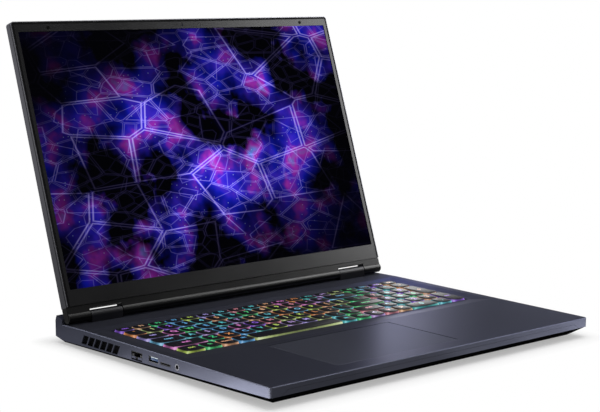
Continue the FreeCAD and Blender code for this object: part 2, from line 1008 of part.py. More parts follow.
def make_rear_ports():
    sockets = []
    for name, (middle, width, tall) in rear_sockets().items():
        housing = box(
            f"{name}_port_housing",
            centred(middle, width),
            ("rear_port_front", "rear_port_back"),
            (BOARD_TOP, f"{BOARD_TOP} + {tall}"),
        )
        bore = box(
            f"{name}_port_bore",
            centred(middle, f"({width} - 2 * rear_port_skin)"),
            ("rear_port_back - rear_port_bore", "rear_port_back + overrun"),
            (f"{BOARD_TOP} + rear_port_skin", f"{BOARD_TOP} + {tall} - rear_port_skin"),
        )
        tongue = box(
            f"{name}_port_tongue",
            centred(middle, f"({width} * rear_tongue_width)"),
            ("rear_port_back - rear_port_bore - tongue_root", "rear_port_back - rear_tongue_setback"),
            centred(f"{BOARD_TOP} + {tall} / 2", f"({tall} * rear_tongue_tall)"),
        )
        shell = cut(f"{name}_port_shell", housing, [bore])
        sockets.append(fuse(f"{name}_port", [shell, tongue]))
    base_part("rear_ports", group("rear_port_group", sockets))


# Keyboard and touchpad


def key_field(margin):
    half = f"key_unit * key_columns / 2 + {margin}"
    rear = "keys_front + 5 * key_unit + function_depth"
    return (f"-({half})", half), (f"keys_front - {margin}", f"{rear} + {margin}")


FUNCTION_ROW = 5


def keys_in_row(row, start, widths):
    keys = []
    for width in widths:
        keys.append((row, 1, start, width))
        start += width
    return keys


def key_layout():
    # Each key is its row from the front, rows covered, first unit from the left and width in units.
    ones = [1]
    number_pad = keys_in_row(4, 15, ones * 4) + keys_in_row(3, 15, ones * 3) + keys_in_row(2, 15, ones * 3)
    number_pad += keys_in_row(1, 15, ones * 3) + keys_in_row(0, 15, [2, 1])
    number_pad += [(2, 2, 18, 1), (0, 2, 18, 1)]
    return {
        "function_keys": keys_in_row(FUNCTION_ROW, 0, ones * 18),
        "power_key": keys_in_row(FUNCTION_ROW, 18, ones),
        "number_keys": keys_in_row(4, 0, ones * 13 + [2]),
        "upper_letter_keys": keys_in_row(3, 0, [1.5] + ones * 12 + [1.5]),
        "home_letter_keys": keys_in_row(2, 0, [1.75] + ones * 11),
        "enter_key": keys_in_row(2, 12.75, [2.25]),
        "left_shift_key": keys_in_row(1, 0, [2.25]),
        "lower_letter_keys": keys_in_row(1, 2.25, ones * 10 + [1.75]),
        "bottom_row_keys": keys_in_row(0, 0, [1.25, 1, 1, 1]) + keys_in_row(0, 10, ones * 2),
        "space_bar": keys_in_row(0, 4.25, [5.75]),
        "arrow_keys": keys_in_row(0, 12, ones * 3) + keys_in_row(1, 14, ones),
        "numpad_keys": number_pad,
    }


def key_cap(name, row, rows, start, width):
    left = f"-key_unit * key_columns / 2 + {start} * key_unit + key_gap / 2"
    right = f"{left} + {width} * key_unit - key_gap"
    front = f"keys_front + {row} * key_unit + key_gap / 2"
    depth = "function_depth" if row == FUNCTION_ROW else f"{rows} * key_unit"
    rear = f"{front} + {depth} - key_gap"
    return set_wedge(
        DOC.addObject("Part::Wedge", name),
        ("key_low", "key_high"),
        (left, right),
        (front, rear),
        (f"{left} + key_top_inset", f"{right} - key_top_inset"),
        (f"{front} + key_top_inset", f"{rear} - key_top_inset"),
    )


def make_keys():
    for node, keys in key_layout().items():
        caps = [key_cap(f"{node}_{index}", *key) for index, key in enumerate(keys)]
        base_part(node, caps[0] if len(caps) == 1 else group(f"{node}_group", caps))


def make_keyboard_plate():
    plate = box("plate_block", *key_field("plate_margin"), ("plate_low", "well_underside"))
    hollow_height = ("plate_low + plate_floor", "well_underside + overrun")
    hollow = box("plate_hollow", *key_field("opening_margin"), hollow_height)
    base_part("keyboard_plate", cut("plate", plate, [hollow]))
    sheet_low = "plate_low + plate_floor"
    sheet = box("light_sheet_box", *key_field("opening_margin / 2"), (sheet_low, f"{sheet_low} + light_sheet"))
    base_part("key_light_sheet", sheet)


def make_touchpad():
    glass = box("pad_plate", ("pad_left", "pad_right"), ("pad_front", "pad_rear"), ("pad_low", "pad_high"))
    base_part("touchpad_glass", glass)
    block = box(
        "tray_block",
        ("pad_left - tray_margin", "pad_right + tray_margin"),
        ("pad_front - tray_margin", "pad_rear + tray_margin / 2"),
        ("tray_low", "palm_underside"),
    )
    hollow = box(
        "tray_hollow",
        ("pad_left - pad_gap", "pad_right + pad_gap"),
        ("pad_front - pad_gap", "pad_rear + pad_gap"),
        ("tray_low + tray_floor", "palm_underside + overrun"),
    )
    switch = cylinder(
        "click_switch",
        "z",
        ("(pad_left + pad_right) / 2", "pad_front + switch_from_front", "tray_low + tray_floor"),
        "switch_height",
        "switch_radius",
    )
    base_part("touchpad_tray", fuse("tray", [cut("tray_shell", block, [hollow]), switch]))


# Hinges


def make_hinge_blocks():
    blocks = []
    brackets = []
    for name, side in SIDES.items():
        span = mirrored(side, ("block_inner", "block_outer"))
        centre = (span[0], "hinge_from_front", "hinge_height")
        barrel = cylinder(f"block_barrel_{name}", "x", centre, "block_outer - block_inner", "block_radius")
        stem = box(
            f"block_stem_{name}",
            span,
            ("hinge_from_front - block_radius", "hinge_from_front + block_radius"),
            ("block_low", "hinge_height"),
        )
        bore = cylinder(
            f"block_bore_{name}",
            "x",
            (f"{span[0]} - overrun", "hinge_from_front", "hinge_height"),
            "block_outer - block_inner + 2 * overrun",
            "pin_radius + pin_play",
        )
        solid = fuse(f"block_solid_{name}", [barrel, stem])
        blocks.append(cut(f"hinge_block_{name}", solid, [bore]))
        brackets.append(
            box(
                f"base_bracket_{name}",
                mirrored(side, ("bracket_inner", "bracket_outer")),
                ("bracket_front", "bracket_rear"),
                ("bracket_low", "block_low"),
            )
        )
    base_part("hinge_blocks", group("hinge_block_group", blocks))
    base_part("hinge_base_brackets", group("base_bracket_group", brackets))


def make_hinge_pins():
    pins = []
    brackets = []
    for name, side in SIDES.items():
        span = mirrored(side, ("pin_inner", "pin_outer"))
        pins.append(
            cylinder(f"hinge_pin_{name}", "x", (span[0], "0", "0"), "pin_outer - pin_inner", "pin_radius")
        )
        knuckle_span = mirrored(side, ("knuckle_inner", "knuckle_outer"))
        knuckle = cylinder(
            f"knuckle_{name}",
            "x",
            (knuckle_span[0], "0", "0"),
            "knuckle_outer - knuckle_inner",
            "knuckle_radius",
        )
        leaf = box(f"leaf_{name}", knuckle_span, ("0", "leaf_top"), ("leaf_back", "leaf_front"))
        hole = cylinder(
            f"knuckle_hole_{name}", "x", (span[0], "0", "0"), "pin_outer - pin_inner", "pin_radius"
        )
        brackets.append(cut(f"lid_bracket_{name}", fuse(f"lid_leaf_{name}", [knuckle, leaf]), [hole]))
    lid_part("hinge_pins", group("hinge_pin_group", pins))
    lid_part("lid_hinge_brackets", group("lid_bracket_group", brackets))


# Lid


def make_lid_back_cover():
    # The back slopes: the lid is thicker near the hinge than at its top edge.
    body = new_body("lid_back_cover")
    half = "lid_width / 2"
    outline = [
        ("cover_bottom", "-lid_half_thickness - cover_swell"),
        ("lid_top", "-lid_half_thickness"),
        ("lid_top", "cover_rim"),
        ("cover_bottom", "cover_rim"),
    ]
    side_sketch = polygon_sketch(body, "cover_side_outline", "YZ_Plane", outline)
    sketched(body, "Pad", "cover_slab", side_sketch, "lid_width")
    half_width = DIMENSIONS["lid_width"] / 2
    top = DIMENSIONS["lid_top"]
    back = -DIMENSIONS["lid_half_thickness"]
    bottom = DIMENSIONS["cover_bottom"]
    slope = DIMENSIONS["cover_swell"] / (top - bottom)

    def top_corner(edge):
        return upright(edge) and all(near(abs(v.X), half_width) and near(v.Y, top) for v in edge.Vertexes)

    def back_rim(edge):
        at_back = all(near(v.Z, back - slope * (top - v.Y)) for v in edge.Vertexes)
        return at_back and not all(near(v.Y, bottom) for v in edge.Vertexes)

    dress_edges(body, "Fillet", "lid_corners", "Radius", "lid_corner_radius", top_corner)
    dress_edges(body, "Fillet", "lid_back_edge", "Radius", "cover_edge_radius", back_rim)
    carve_box(
        body,
        "lid_cavity",
        (f"-{half} + cover_side", f"{half} - cover_side"),
        ("cover_bottom + cover_side", "lid_top - cover_side"),
        ("-lid_half_thickness + cover_back", "cover_rim + overrun"),
    )
    for name, side in SIDES.items():
        carve_box(
            body,
            f"leaf_slot_{name}",
            mirrored(side, ("knuckle_inner - knuckle_room", "knuckle_outer + knuckle_room")),
            ("cover_bottom - overrun", "cover_bottom + cover_side + overrun"),
            ("leaf_back - knuckle_room / 2", "leaf_front + knuckle_room"),
        )
    lid_part("lid_back_cover", body)


def ring(name, outer_x, outer_y, inner_x, inner_y, z):
    plate = box(f"{name}_plate", outer_x, outer_y, z)
    opening = box(f"{name}_opening", inner_x, inner_y, (f"{z[0]} - overrun", f"{z[1]} + overrun"))
    return cut(f"{name}_ring", plate, [opening])


def make_lid_rings():
    half = "lid_width / 2"
    half_width = DIMENSIONS["lid_width"] / 2
    top = DIMENSIONS["lid_top"]

    def top_corner(inset):
        def wanted(edge):
            return upright(edge) and all(
                near(abs(v.X), half_width - inset) and near(v.Y, top - inset) for v in edge.Vertexes
            )

        return wanted

    edge = "groove_recess"
    inner = "(groove_recess + groove_width)"
    body = new_body("lid_groove_gasket")
    slab = body.newObject("PartDesign::AdditiveBox", "groove_slab")
    groove_x = (f"-{half} + {edge}", f"{half} - {edge}")
    set_box(slab, groove_x, ("bezel_bottom", f"lid_top - {edge}"), ("cover_rim", "groove_high"))
    groove_corner = top_corner(DIMENSIONS["groove_recess"])
    dress_edges(body, "Fillet", "groove_corners", "Radius", f"lid_corner_radius - {edge}", groove_corner)
    carve_box(
        body,
        "groove_opening",
        (f"-{half} + {inner}", f"{half} - {inner}"),
        ("bezel_bottom + groove_width", f"lid_top - {inner}"),
        ("cover_rim - overrun", "groove_high + overrun"),
    )
    lid_part("lid_groove_gasket", body)

    # The frame carries the panel and has a thin lip that shows as a bright line round the front.
    panel_x, panel_y = panel_outline()
    body = new_body("lid_frame")
    slab = body.newObject("PartDesign::AdditiveBox", "frame_slab")
    set_box(slab, (f"-{half}", half), ("bezel_bottom", "lid_top"), ("groove_high", "frame_high"))
    carve_box(
        body,
        "frame_shelf_cut",
        (f"-{half} + frame_lip", f"{half} - frame_lip"),
        ("bezel_bottom - overrun", "lid_top - frame_lip"),
        ("frame_shelf", "frame_high + overrun"),
    )
    lip = DIMENSIONS["frame_lip"]
    dress_edges(body, "Fillet", "shelf_corners", "Radius", "lid_corner_radius - frame_lip", top_corner(lip))
    dress_edges(body, "Fillet", "frame_corners", "Radius", "lid_corner_radius", top_corner(0))
    carve_box(body, "frame_opening", panel_x, panel_y, ("groove_high - overrun", "frame_high + overrun"))
    carve_box(
        body,
        "camera_opening",
        ("-camera_board_half", "camera_board_half"),
        centred("camera_height", "camera_board_depth"),
        ("groove_high - overrun", "frame_high + overrun"),
    )
    lid_part("lid_frame", body)

    rim_edge = "(frame_lip + rim_gap)"
    rim_inner = "(frame_lip + rim_gap + rim_width)"
    body = new_body("bezel_gasket")
    slab = body.newObject("PartDesign::AdditiveBox", "rim_slab")
    rim_x = (f"-{half} + {rim_edge}", f"{half} - {rim_edge}")
    set_box(slab, rim_x, ("bezel_bottom", f"lid_top - {rim_edge}"), ("frame_shelf", "lid_half_thickness"))
    rim_radius = f"lid_corner_radius - {rim_edge}"
    rim_inset = lip + DIMENSIONS["rim_gap"]
    dress_edges(body, "Fillet", "rim_corners", "Radius", rim_radius, top_corner(rim_inset))
    carve_box(
        body,
        "rim_opening",
        (f"-{half} + {rim_inner}", f"{half} - {rim_inner}"),
        ("bezel_bottom - overrun", f"lid_top - {rim_inner}"),
        ("frame_shelf - overrun", "lid_half_thickness + overrun"),
    )
    lid_part("bezel_gasket", body)

    bezel_edge = "(frame_lip + 2 * rim_gap + rim_width)"
    bezel = ring(
        "bezel",
        (f"-{half} + {bezel_edge}", f"{half} - {bezel_edge}"),
        ("bezel_bottom", f"lid_top - {bezel_edge}"),
        ("-screen_width / 2", "screen_width / 2"),
        ("screen_bottom", "screen_bottom + screen_height"),
        ("frame_shelf", "lid_half_thickness"),
    )
    lens_place = ("0", "camera_height", "frame_shelf - overrun")
    lens_hole = cylinder("lens_hole", "z", lens_place, "lid_half_thickness", "camera_radius + rim_gap")
    lid_part("display_bezel", cut("bezel_with_lens_hole", bezel, [lens_hole]))


def panel_outline():
    across = ("-screen_width / 2 - panel_border", "screen_width / 2 + panel_border")
    return across, ("screen_bottom - panel_chin", "screen_bottom + screen_height + panel_border")


def make_display_panel():
    lid_part("display_panel", box("panel_slab", *panel_outline(), ("panel_low", "frame_shelf")))


def make_webcam():
    board = box(
        "camera_board",
        ("-camera_board_half", "camera_board_half"),
        centred("camera_height", "camera_board_depth"),
        ("frame_shelf - camera_board_thickness", "frame_shelf"),
    )
    lid_part("webcam_module", board)
    lens_depth = "lid_half_thickness - frame_shelf"
    lens = cylinder("camera_lens", "z", ("0", "camera_height", "frame_shelf"), lens_depth, "camera_radius")
    lid_part("webcam_lens", lens)


def make_lid_lower_strip():
    half = "lid_width / 2"
    barrel = cylinder("strip_barrel", "x", (f"-{half}", "0", "0"), "lid_width", "lid_half_thickness")
    bar = box(
        "strip_bar",
        (f"-{half}", half),
        ("0", "strip_top"),
        ("-lid_half_thickness", "lid_half_thickness - neck_relief"),
    )
    tongue = box(
        "strip_tongue",
        (f"-{half} + groove_recess", f"{half} - groove_recess"),
        ("strip_top", "bezel_bottom"),
        ("cover_rim", "lid_half_thickness - neck_relief - seam_recess"),
    )
    hollows = []
    for name, side in SIDES.items():
        hollows.append(
            box(
                f"strip_end_groove_{name}",
                mirrored(side, (f"{half} - groove_recess", f"{half} + overrun")),
                ("-lid_half_thickness - overrun", "strip_top"),
                ("cover_rim", "groove_high"),
            )
        )
        hollows.append(
            box(
                f"strip_notch_{name}",
                mirrored(side, ("notch_inner", "notch_outer")),
                ("-lid_half_thickness - overrun", "notch_top"),
                ("-lid_half_thickness - overrun", "lid_half_thickness + overrun"),
            )
        )
        room = mirrored(side, ("knuckle_inner - knuckle_room", "notch_inner + overrun"))
        hollows.append(
            cylinder(
                f"strip_bore_{name}",
                "x",
                (room[0], "0", "0"),
                "notch_inner + overrun - knuckle_inner + knuckle_room",
                "knuckle_radius + knuckle_room",
            )
        )
        hollows.append(
            box(
                f"strip_leaf_slot_{name}",
                mirrored(side, ("knuckle_inner - knuckle_room", "knuckle_outer + knuckle_room")),
                ("0", "strip_top + overrun"),
                ("leaf_back - knuckle_room / 2", "leaf_front + knuckle_room"),
            )
        )
    solid = fuse("strip_solid", [barrel, bar, tongue])
    lid_part("lid_lower_strip", cut("strip", solid, [fuse("strip_hollows", hollows)]))


def make_lid_bumpers():
    bumpers = [
        cylinder(
            f"bumper_{name}",
            "z",
            (f"{side} * bumper_column", "camera_height", "lid_half_thickness"),
            "bumper_height",
            "bumper_radius",
        )
        for name, side in SIDES.items()
    ]
    lid_part("lid_bumpers", group("bumper_group", bumpers))


# Boards, cooling, battery and modules


def make_main_board():
    across = ("-board_half", "board_half")
    board = box("main_board_slab", across, ("board_front", "board_rear"), ("board_low", BOARD_TOP))
    base_part("main_board", board)
    chips = [
        box(
            f"chip_{name}",
            centred(f"{side} * chip_x", "chip_width"),
            ("chip_front", "chip_front + chip_depth"),
            (BOARD_TOP, f"{BOARD_TOP} + chip_height"),
        )
        for name, side in SIDES.items()
    ]
    base_part("processor_chips", group("chip_group", chips))


def make_heat_pipes():
    pipes = []
    low = f"{BOARD_TOP} + chip_height"
    height = (low, f"{low} + pipe_height")
    for name, side in SIDES.items():
        for index in range(DIMENSIONS["pipe_count"]):
            inner = f"chip_x - pipe_pitch + {index} * pipe_pitch - pipe_width / 2"
            cross = f"pipe_cross + {DIMENSIONS['pipe_count'] - 1 - index} * pipe_cross_pitch"
            run = box(
                f"pipe_run_{name}_{index}",
                mirrored(side, (inner, f"{inner} + pipe_width")),
                ("pipe_front", f"{cross} + pipe_width"),
                height,
            )
            reach = box(
                f"pipe_reach_{name}_{index}",
                mirrored(side, (inner, "fin_outer")),
                (cross, f"{cross} + pipe_width"),
                height,
            )
            pipes.append(fuse(f"pipe_{name}_{index}", [run, reach]))
    base_part("heat_pipes", group("pipe_group", pipes))


def make_fin_stacks():
    stacks = []
    top = f"{BOARD_TOP} + chip_height"
    for name, side in SIDES.items():
        block = box(
            f"fin_block_{name}",
            mirrored(side, ("fin_inner", "fin_outer")),
            ("fin_front", "fin_front + fin_depth"),
            (COVER_TOP, top),
        )
        slots = []
        for index in range(DIMENSIONS["fin_count"]):
            start = f"fin_inner + fin_pitch - fin_slot + {index} * fin_pitch"
            slots.append(
                box(
                    f"fin_slot_{name}_{index}",
                    mirrored(side, (start, f"{start} + fin_slot")),
                    ("fin_front - overrun", "fin_front + fin_depth + overrun"),
                    (f"{COVER_TOP} + fin_skin", f"{top} - fin_skin"),
                )
            )
        stacks.append(cut(f"fin_stack_{name}", block, slots))
    base_part("fin_stacks", group("fin_stack_group", stacks))


def make_fans():
    housings = []
    for name, side in SIDES.items():
        middle = f"{side} * fan_x"
        shell = box(
            f"fan_shell_{name}",
            centred(middle, "fan_size"),
            centred("fan_from_front", "fan_size"),
            (COVER_TOP, "fan_high"),
        )
        chamber = box(
            f"fan_chamber_{name}",
            centred(middle, "(fan_size - 2 * fan_wall)"),
            ("fan_from_front - fan_size / 2 + fan_wall", "fan_from_front + fan_size / 2 + overrun"),
            ("fan_low + fan_wall", "fan_high - fan_wall"),
        )
        intake = cylinder(
            f"fan_intake_{name}",
            "z",
            (middle, "fan_from_front", f"{COVER_TOP} - overrun"),
            f"fan_low + fan_wall + 2 * overrun - ({COVER_TOP})",
            "fan_intake",
        )
        axle = cylinder(
            f"fan_axle_{name}",
            "z",
            (middle, "fan_from_front", "rotor_low + rotor_floor"),
            "fan_high - axle_root - rotor_low - rotor_floor",
            "axle_radius",
        )
        hollow = fuse(f"fan_hollow_{name}", [chamber, intake])
        housings.append(fuse(f"fan_housing_{name}", [cut(f"fan_case_{name}", shell, [hollow]), axle]))

        hub_centre = (middle, "fan_from_front", "rotor_low")
        hub = cylinder(f"rotor_hub_{name}", "z", hub_centre, "rotor_high - rotor_low", "rotor_hub")
        blades = [rotor_blade(f"blade_{name}_{index}", middle, index) for index in range(FAN_BLADES)]
        bore = cylinder(
            f"rotor_bore_{name}",
            "z",
            (middle, "fan_from_front", "rotor_low + rotor_floor - rotor_end_play"),
            "rotor_high - rotor_low",
            "axle_radius + axle_play",
        )
        rotor = cut(f"rotor_{name}", fuse(f"rotor_solid_{name}", [hub] + blades), [bore])
        base_part(f"fan_rotor_{name}", rotor)
    base_part("fan_housings", group("fan_housing_group", housings))


def rotor_blade(name, middle, index):
    blade = DOC.addObject("Part::Box", name)
    turn = FreeCAD.Rotation(FreeCAD.Vector(0, 0, 1), 360 / FAN_BLADES * index)
    blade.Placement = FreeCAD.Placement(FreeCAD.Vector(), turn)
    bind(blade, "Length", "rotor_tip")
    bind(blade, "Width", "blade_thickness")
    bind(blade, "Height", "rotor_high - rotor_low - 2 * blade_inset")
    bind(blade, "Placement.Base.x", middle)
    bind(blade, "Placement.Base.y", "fan_from_front")
    bind(blade, "Placement.Base.z", "rotor_low + blade_inset")
    return blade


def make_battery():
    pack = box(
        "battery_block",
        ("-battery_half", "battery_half"),
        ("battery_front", "battery_rear"),
        (COVER_TOP, f"{COVER_TOP} + battery_height"),
    )
    base_part("battery_pack", pack)


def make_speakers():
    speakers = [
        box(
            f"speaker_{name}",
            mirrored(side, ("speaker_inner", "speaker_outer")),
            ("speaker_front", "speaker_rear"),
            (COVER_TOP, f"{COVER_TOP} + speaker_height"),
        )
        for name, side in SIDES.items()
    ]
    base_part("speakers", group("speaker_group", speakers))


def make_modules():
    sticks = [
        box(
            f"memory_{name}",
            mirrored(side, ("memory_inner", "memory_inner + memory_width")),
            ("memory_front", "memory_front + memory_depth"),
            (BOARD_TOP, f"{BOARD_TOP} + memory_height"),
        )
        for name, side in SIDES.items()
    ]
    base_part("memory_modules", group("memory_group", sticks))
    drives = [
        box(
            f"drive_{front}",
            ("drive_left", "drive_left + drive_length"),
            (front, f"{front} + drive_depth"),
            (BOARD_TOP, f"{BOARD_TOP} + drive_height"),
        )
        for front in ("drive_front", "drive_rear_front")
    ]
    base_part("storage_drives", group("drive_group", drives))
    card = box(
        "radio_card",
        ("radio_left", "radio_left + radio_width"),
        ("drive_front", "drive_front + radio_depth"),
        (BOARD_TOP, f"{BOARD_TOP} + drive_height"),
    )
    base_part("wireless_card", card)


def check_document():
    DOC.recompute()
    for feature in DOC.Objects:
        if "Invalid" in feature.State or "Error" in feature.State:
            raise RuntimeError(f"{feature.Name} did not build: {feature.State}")
    for part in PARTS:
        if part.Shape.isNull() or not part.Shape.isValid() or not part.Shape.Solids:
            raise RuntimeError(f"{part.Label} has no valid solid")


def write_parts():
    os.makedirs("parts", exist_ok=True)
    bounds = FreeCAD.BoundBox()
    for part in PARTS:
        part.Shape.exportStep(f"parts/{part.Label}.step")
        bounds.add(part.Shape.BoundBox)
        print(f"{part.Label}: {len(part.Shape.Solids)} solids, {part.Shape.Volume / 1000:.2f} cm3")
    print(f"{len(PARTS)} sub-parts, box {bounds}")


fill_sheet()
make_top_case()
make_front_lip()
make_bottom_cover()
make_feet()
make_case_screws()
make_vent_screens()
make_rear_grilles()
make_left_io_panel()
make_ethernet_jack()
make_ethernet_jaw()
make_usb_sockets()
make_card_reader()
make_audio_jack()
make_port_boards()
make_rear_ports()
make_keys()
make_keyboard_plate()
make_touchpad()
make_hinge_blocks()
make_hinge_pins()
make_lid_back_cover()
make_lid_rings()
make_display_panel()
make_webcam()
make_lid_lower_strip()
make_lid_bumpers()
make_main_board()
make_heat_pipes()
make_fin_stacks()
make_fans()
make_battery()
make_speakers()
make_modules()
check_document()
write_parts()
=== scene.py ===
import math

import bmesh
import bpy
from mathutils import Matrix, Vector


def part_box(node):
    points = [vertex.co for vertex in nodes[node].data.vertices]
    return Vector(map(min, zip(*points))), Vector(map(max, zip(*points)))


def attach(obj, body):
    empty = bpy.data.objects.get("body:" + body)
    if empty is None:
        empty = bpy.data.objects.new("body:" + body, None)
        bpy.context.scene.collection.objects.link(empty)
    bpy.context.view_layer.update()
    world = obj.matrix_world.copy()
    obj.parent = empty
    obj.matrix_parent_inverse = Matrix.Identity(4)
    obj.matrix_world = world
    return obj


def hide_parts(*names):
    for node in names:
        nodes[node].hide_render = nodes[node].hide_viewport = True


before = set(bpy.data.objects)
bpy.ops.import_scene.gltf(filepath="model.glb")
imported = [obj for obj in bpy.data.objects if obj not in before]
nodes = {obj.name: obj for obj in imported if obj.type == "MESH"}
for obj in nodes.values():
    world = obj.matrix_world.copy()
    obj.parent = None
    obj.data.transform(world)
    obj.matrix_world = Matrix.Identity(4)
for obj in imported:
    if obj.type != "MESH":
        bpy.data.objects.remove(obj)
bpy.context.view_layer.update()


# Top case, front lip and left port panel.
# One shell of sandblasted, navy anodised aluminium with a machined edge line, and two small
# inserts of the same metal that are glued into its front and left walls.

class Shade:
    """One output of a material's nodes; arithmetic on it adds Math nodes."""

    def __init__(self, tree, socket=None):
        self.tree = tree
        self.socket = socket

    def node(self, kind, settings=None, inputs=None, output=0):
        made = self.tree.nodes.new(kind)
        for name, value in (settings or {}).items():
            if name == "stops":
                ramp = made.color_ramp.elements
                while len(ramp) < len(value):
                    ramp.new(1.0)
                for element, (place, colour) in zip(ramp, value):
                    element.position = place
                    element.color = (*colour, 1.0)
            else:
                setattr(made, name, value)
        for name, value in (inputs or {}).items():
            if isinstance(value, Shade):
                self.tree.links.new(value.socket, made.inputs[name])
            else:
                made.inputs[name].default_value = value
        return Shade(self.tree, made.outputs[output]) if len(made.outputs) else None

    def sum(self, operation, *values):
        return self.node("ShaderNodeMath", {"operation": operation}, dict(enumerate(values)))

    def __add__(self, other):
        return self.sum("ADD", self, other)

    def __radd__(self, other):
        return self.sum("ADD", other, self)

    def __sub__(self, other):
        return self.sum("SUBTRACT", self, other)

    def __rsub__(self, other):
        return self.sum("SUBTRACT", other, self)

    def __mul__(self, other):
        return self.sum("MULTIPLY", self, other)

    def __rmul__(self, other):
        return self.sum("MULTIPLY", other, self)

    def __truediv__(self, other):
        return self.sum("DIVIDE", self, other)

    def __pow__(self, other):
        return self.sum("POWER", self, other)

    def __gt__(self, other):
        return self.sum("GREATER_THAN", self, other)

    def __lt__(self, other):
        return self.sum("LESS_THAN", self, other)

    def apply(self, operation, *others):
        return self.sum(operation, self, *others)

    def clamp(self):
        return self.node("ShaderNodeClamp", {}, {"Value": self})

    def part(self, axis):
        return self.node("ShaderNodeSeparateXYZ", {}, {0: self}, "XYZ".index(axis))

    def mix(self, first, second, blend="MIX"):
        """Two colours blended with this output as the share of the second."""
        ends = {0: self}
        for index, colour in ((6, first), (7, second)):
            ends[index] = colour if isinstance(colour, Shade) else (*colour, 1.0)
        return self.node("ShaderNodeMix", {"data_type": "RGBA", "blend_type": blend}, ends, 2)

    def noise(self, scale, detail=2.0):
        return self.node("ShaderNodeTexNoise", {}, {"Vector": self, "Scale": scale, "Detail": detail})


def new_material(name):
    """A bare material, its nodes and the Object coordinates, in metres."""
    material = bpy.data.materials.new(name)
    material.use_nodes = True
    tree = material.node_tree
    tree.nodes.clear()
    shade = Shade(tree)
    return material, shade, shade.node("ShaderNodeTexCoord", output="Object")


def finish_material(material, shade, linked, fixed):
    """Puts the surface shader on a material, with its varying links and its fixed sockets."""
    surface = shade.node("ShaderNodeBsdfPrincipled", {}, {**fixed, **linked})
    shade.node("ShaderNodeOutputMaterial", {}, {"Surface": surface})
    return material


def bumped(shade, height, strength, distance):
    return shade.node("ShaderNodeBump", {}, {"Height": height, "Strength": strength, "Distance": distance})


def blasted_metal(name, colour, roughness, edge_tint, metallic=1.0):
    """Bead-blasted and dyed aluminium: fine grain, faint cloudiness and soft reflections."""
    material, shade, place = new_material(name)
    grain = place.noise(2600.0)
    cloud = place.noise(14.0, 3.0)
    dark = [channel * 0.9 for channel in colour]
    light = [channel * 1.1 for channel in colour]
    speckle = (cloud * 0.6 + grain * 0.4).mix(dark, light)
    linked = {
        "Base Color": speckle,
        "Roughness": roughness - 0.05 + 0.06 * cloud + 0.04 * grain,
        "Normal": bumped(shade, grain, 0.06, 0.00004),
    }
    fixed = {"Metallic": metallic, "Specular IOR Level": 0.0, "Specular Tint": (*edge_tint, 1.0)}
    return finish_material(material, shade, linked, fixed)


def dress(material, *names):
    """Gives CAD nodes a material."""
    for name in names:
        slots = nodes[name].data.materials
        slots.clear()
        slots.append(material)


DECK_NAVY = (0.033, 0.0345, 0.045)
DECK_EDGE = (0.31, 0.31, 0.33)
DECK_GLINT = 0.62
deck_metal = blasted_metal("navy_anodised_metal", DECK_NAVY, 0.38, DECK_EDGE, DECK_GLINT)
dress(deck_metal, "top_case", "front_lip", "left_io_panel")


# Bottom cover, rear grilles and vent louvres.
# Injection-moulded black plastic with a spark-eroded skin, screwed to the top case from below.
# Behind each row of side slots stands a comb of thin slanted louvres.

def moulded_plastic(name, colour, roughness, texture=900.0, depth=0.00006, gloss=0.2):
    """Moulded plastic with a fine spark-eroded skin and slight gloss changes."""
    material, shade, place = new_material(name)
    skin = place.noise(texture, 3.0)
    patch = place.noise(30.0)
    dark = [channel * 0.85 for channel in colour]
    light = [channel * 1.15 for channel in colour]
    linked = {
        "Base Color": (skin * 0.5 + patch * 0.5).mix(dark, light),
        "Roughness": roughness - 0.06 + 0.12 * patch,
        "Normal": bumped(shade, skin, 0.2, depth),
    }
    return finish_material(material, shade, linked, {"Specular IOR Level": gloss})


def new_piece(name, bm, materials, body, replaced=(), sharp=40.0):
    """Turns a finished bmesh into a piece that rides on a body."""
    mesh = bpy.data.meshes.new(name)
    for face in bm.faces:
        face.smooth = True
    bm.to_mesh(mesh)
    bm.free()
    mesh.set_sharp_from_angle(angle=math.radians(sharp))
    for material in materials:
        mesh.materials.append(material)
    piece = bpy.data.objects.new(name, mesh)
    bpy.context.scene.collection.objects.link(piece)
    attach(piece, body)
    if replaced:
        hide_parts(*replaced)
    return piece


def block(bm, low, high, rounding=0.0, segments=2):
    """A box between two corners in metres with rounded edges; gives its corner points."""
    low, high = Vector(low), Vector(high)
    verts = bmesh.ops.create_cube(bm, size=1.0)["verts"]
    bmesh.ops.scale(bm, vec=high - low, verts=verts)
    bmesh.ops.translate(bm, vec=(low + high) / 2, verts=verts)
    if rounding:
        edges = list({edge for vert in verts for edge in vert.link_edges})
        made = bmesh.ops.bevel(
            bm, geom=edges, offset=rounding, affect="EDGES", segments=segments, profile=0.5, material=-1
        )
        verts = made["verts"]
    return verts


MM = 0.001
cover_plastic = moulded_plastic("black_cover_plastic", (0.0026, 0.0026, 0.003), 0.7, gloss=0.0)
dress(cover_plastic, "bottom_cover", "rear_grilles")

LOUVRE_PITCH = 1.55 * MM
LOUVRE_THICKNESS = 0.45 * MM
LOUVRE_DEPTH = 2.2 * MM
LOUVRE_SLANT = 4.0 / 8.3
bm = bmesh.new()
low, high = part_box("vent_screens")
for side in (-1, 1):
    wall = side * high.x
    inner = wall - side * LOUVRE_DEPTH
    count = int((high.y - low.y) / LOUVRE_PITCH)
    for index in range(count):
        front = low.y + index * LOUVRE_PITCH
        corner = (min(wall, inner), front, low.z)
        far = (max(wall, inner), front + LOUVRE_THICKNESS, high.z)
        for vert in block(bm, corner, far):
            vert.co.y -= (vert.co.z - low.z) * LOUVRE_SLANT
vent_black = moulded_plastic("vent_black_plastic", (0.003, 0.003, 0.0035), 0.7, gloss=0.03)
new_piece("vent_louvres", bm, [vent_black], "base", ["vent_screens"])


# Feet and screws.
# Three long ribbed rubber strips glued to the cover, and countersunk steel screws, each with a plain
# round recess in its head.

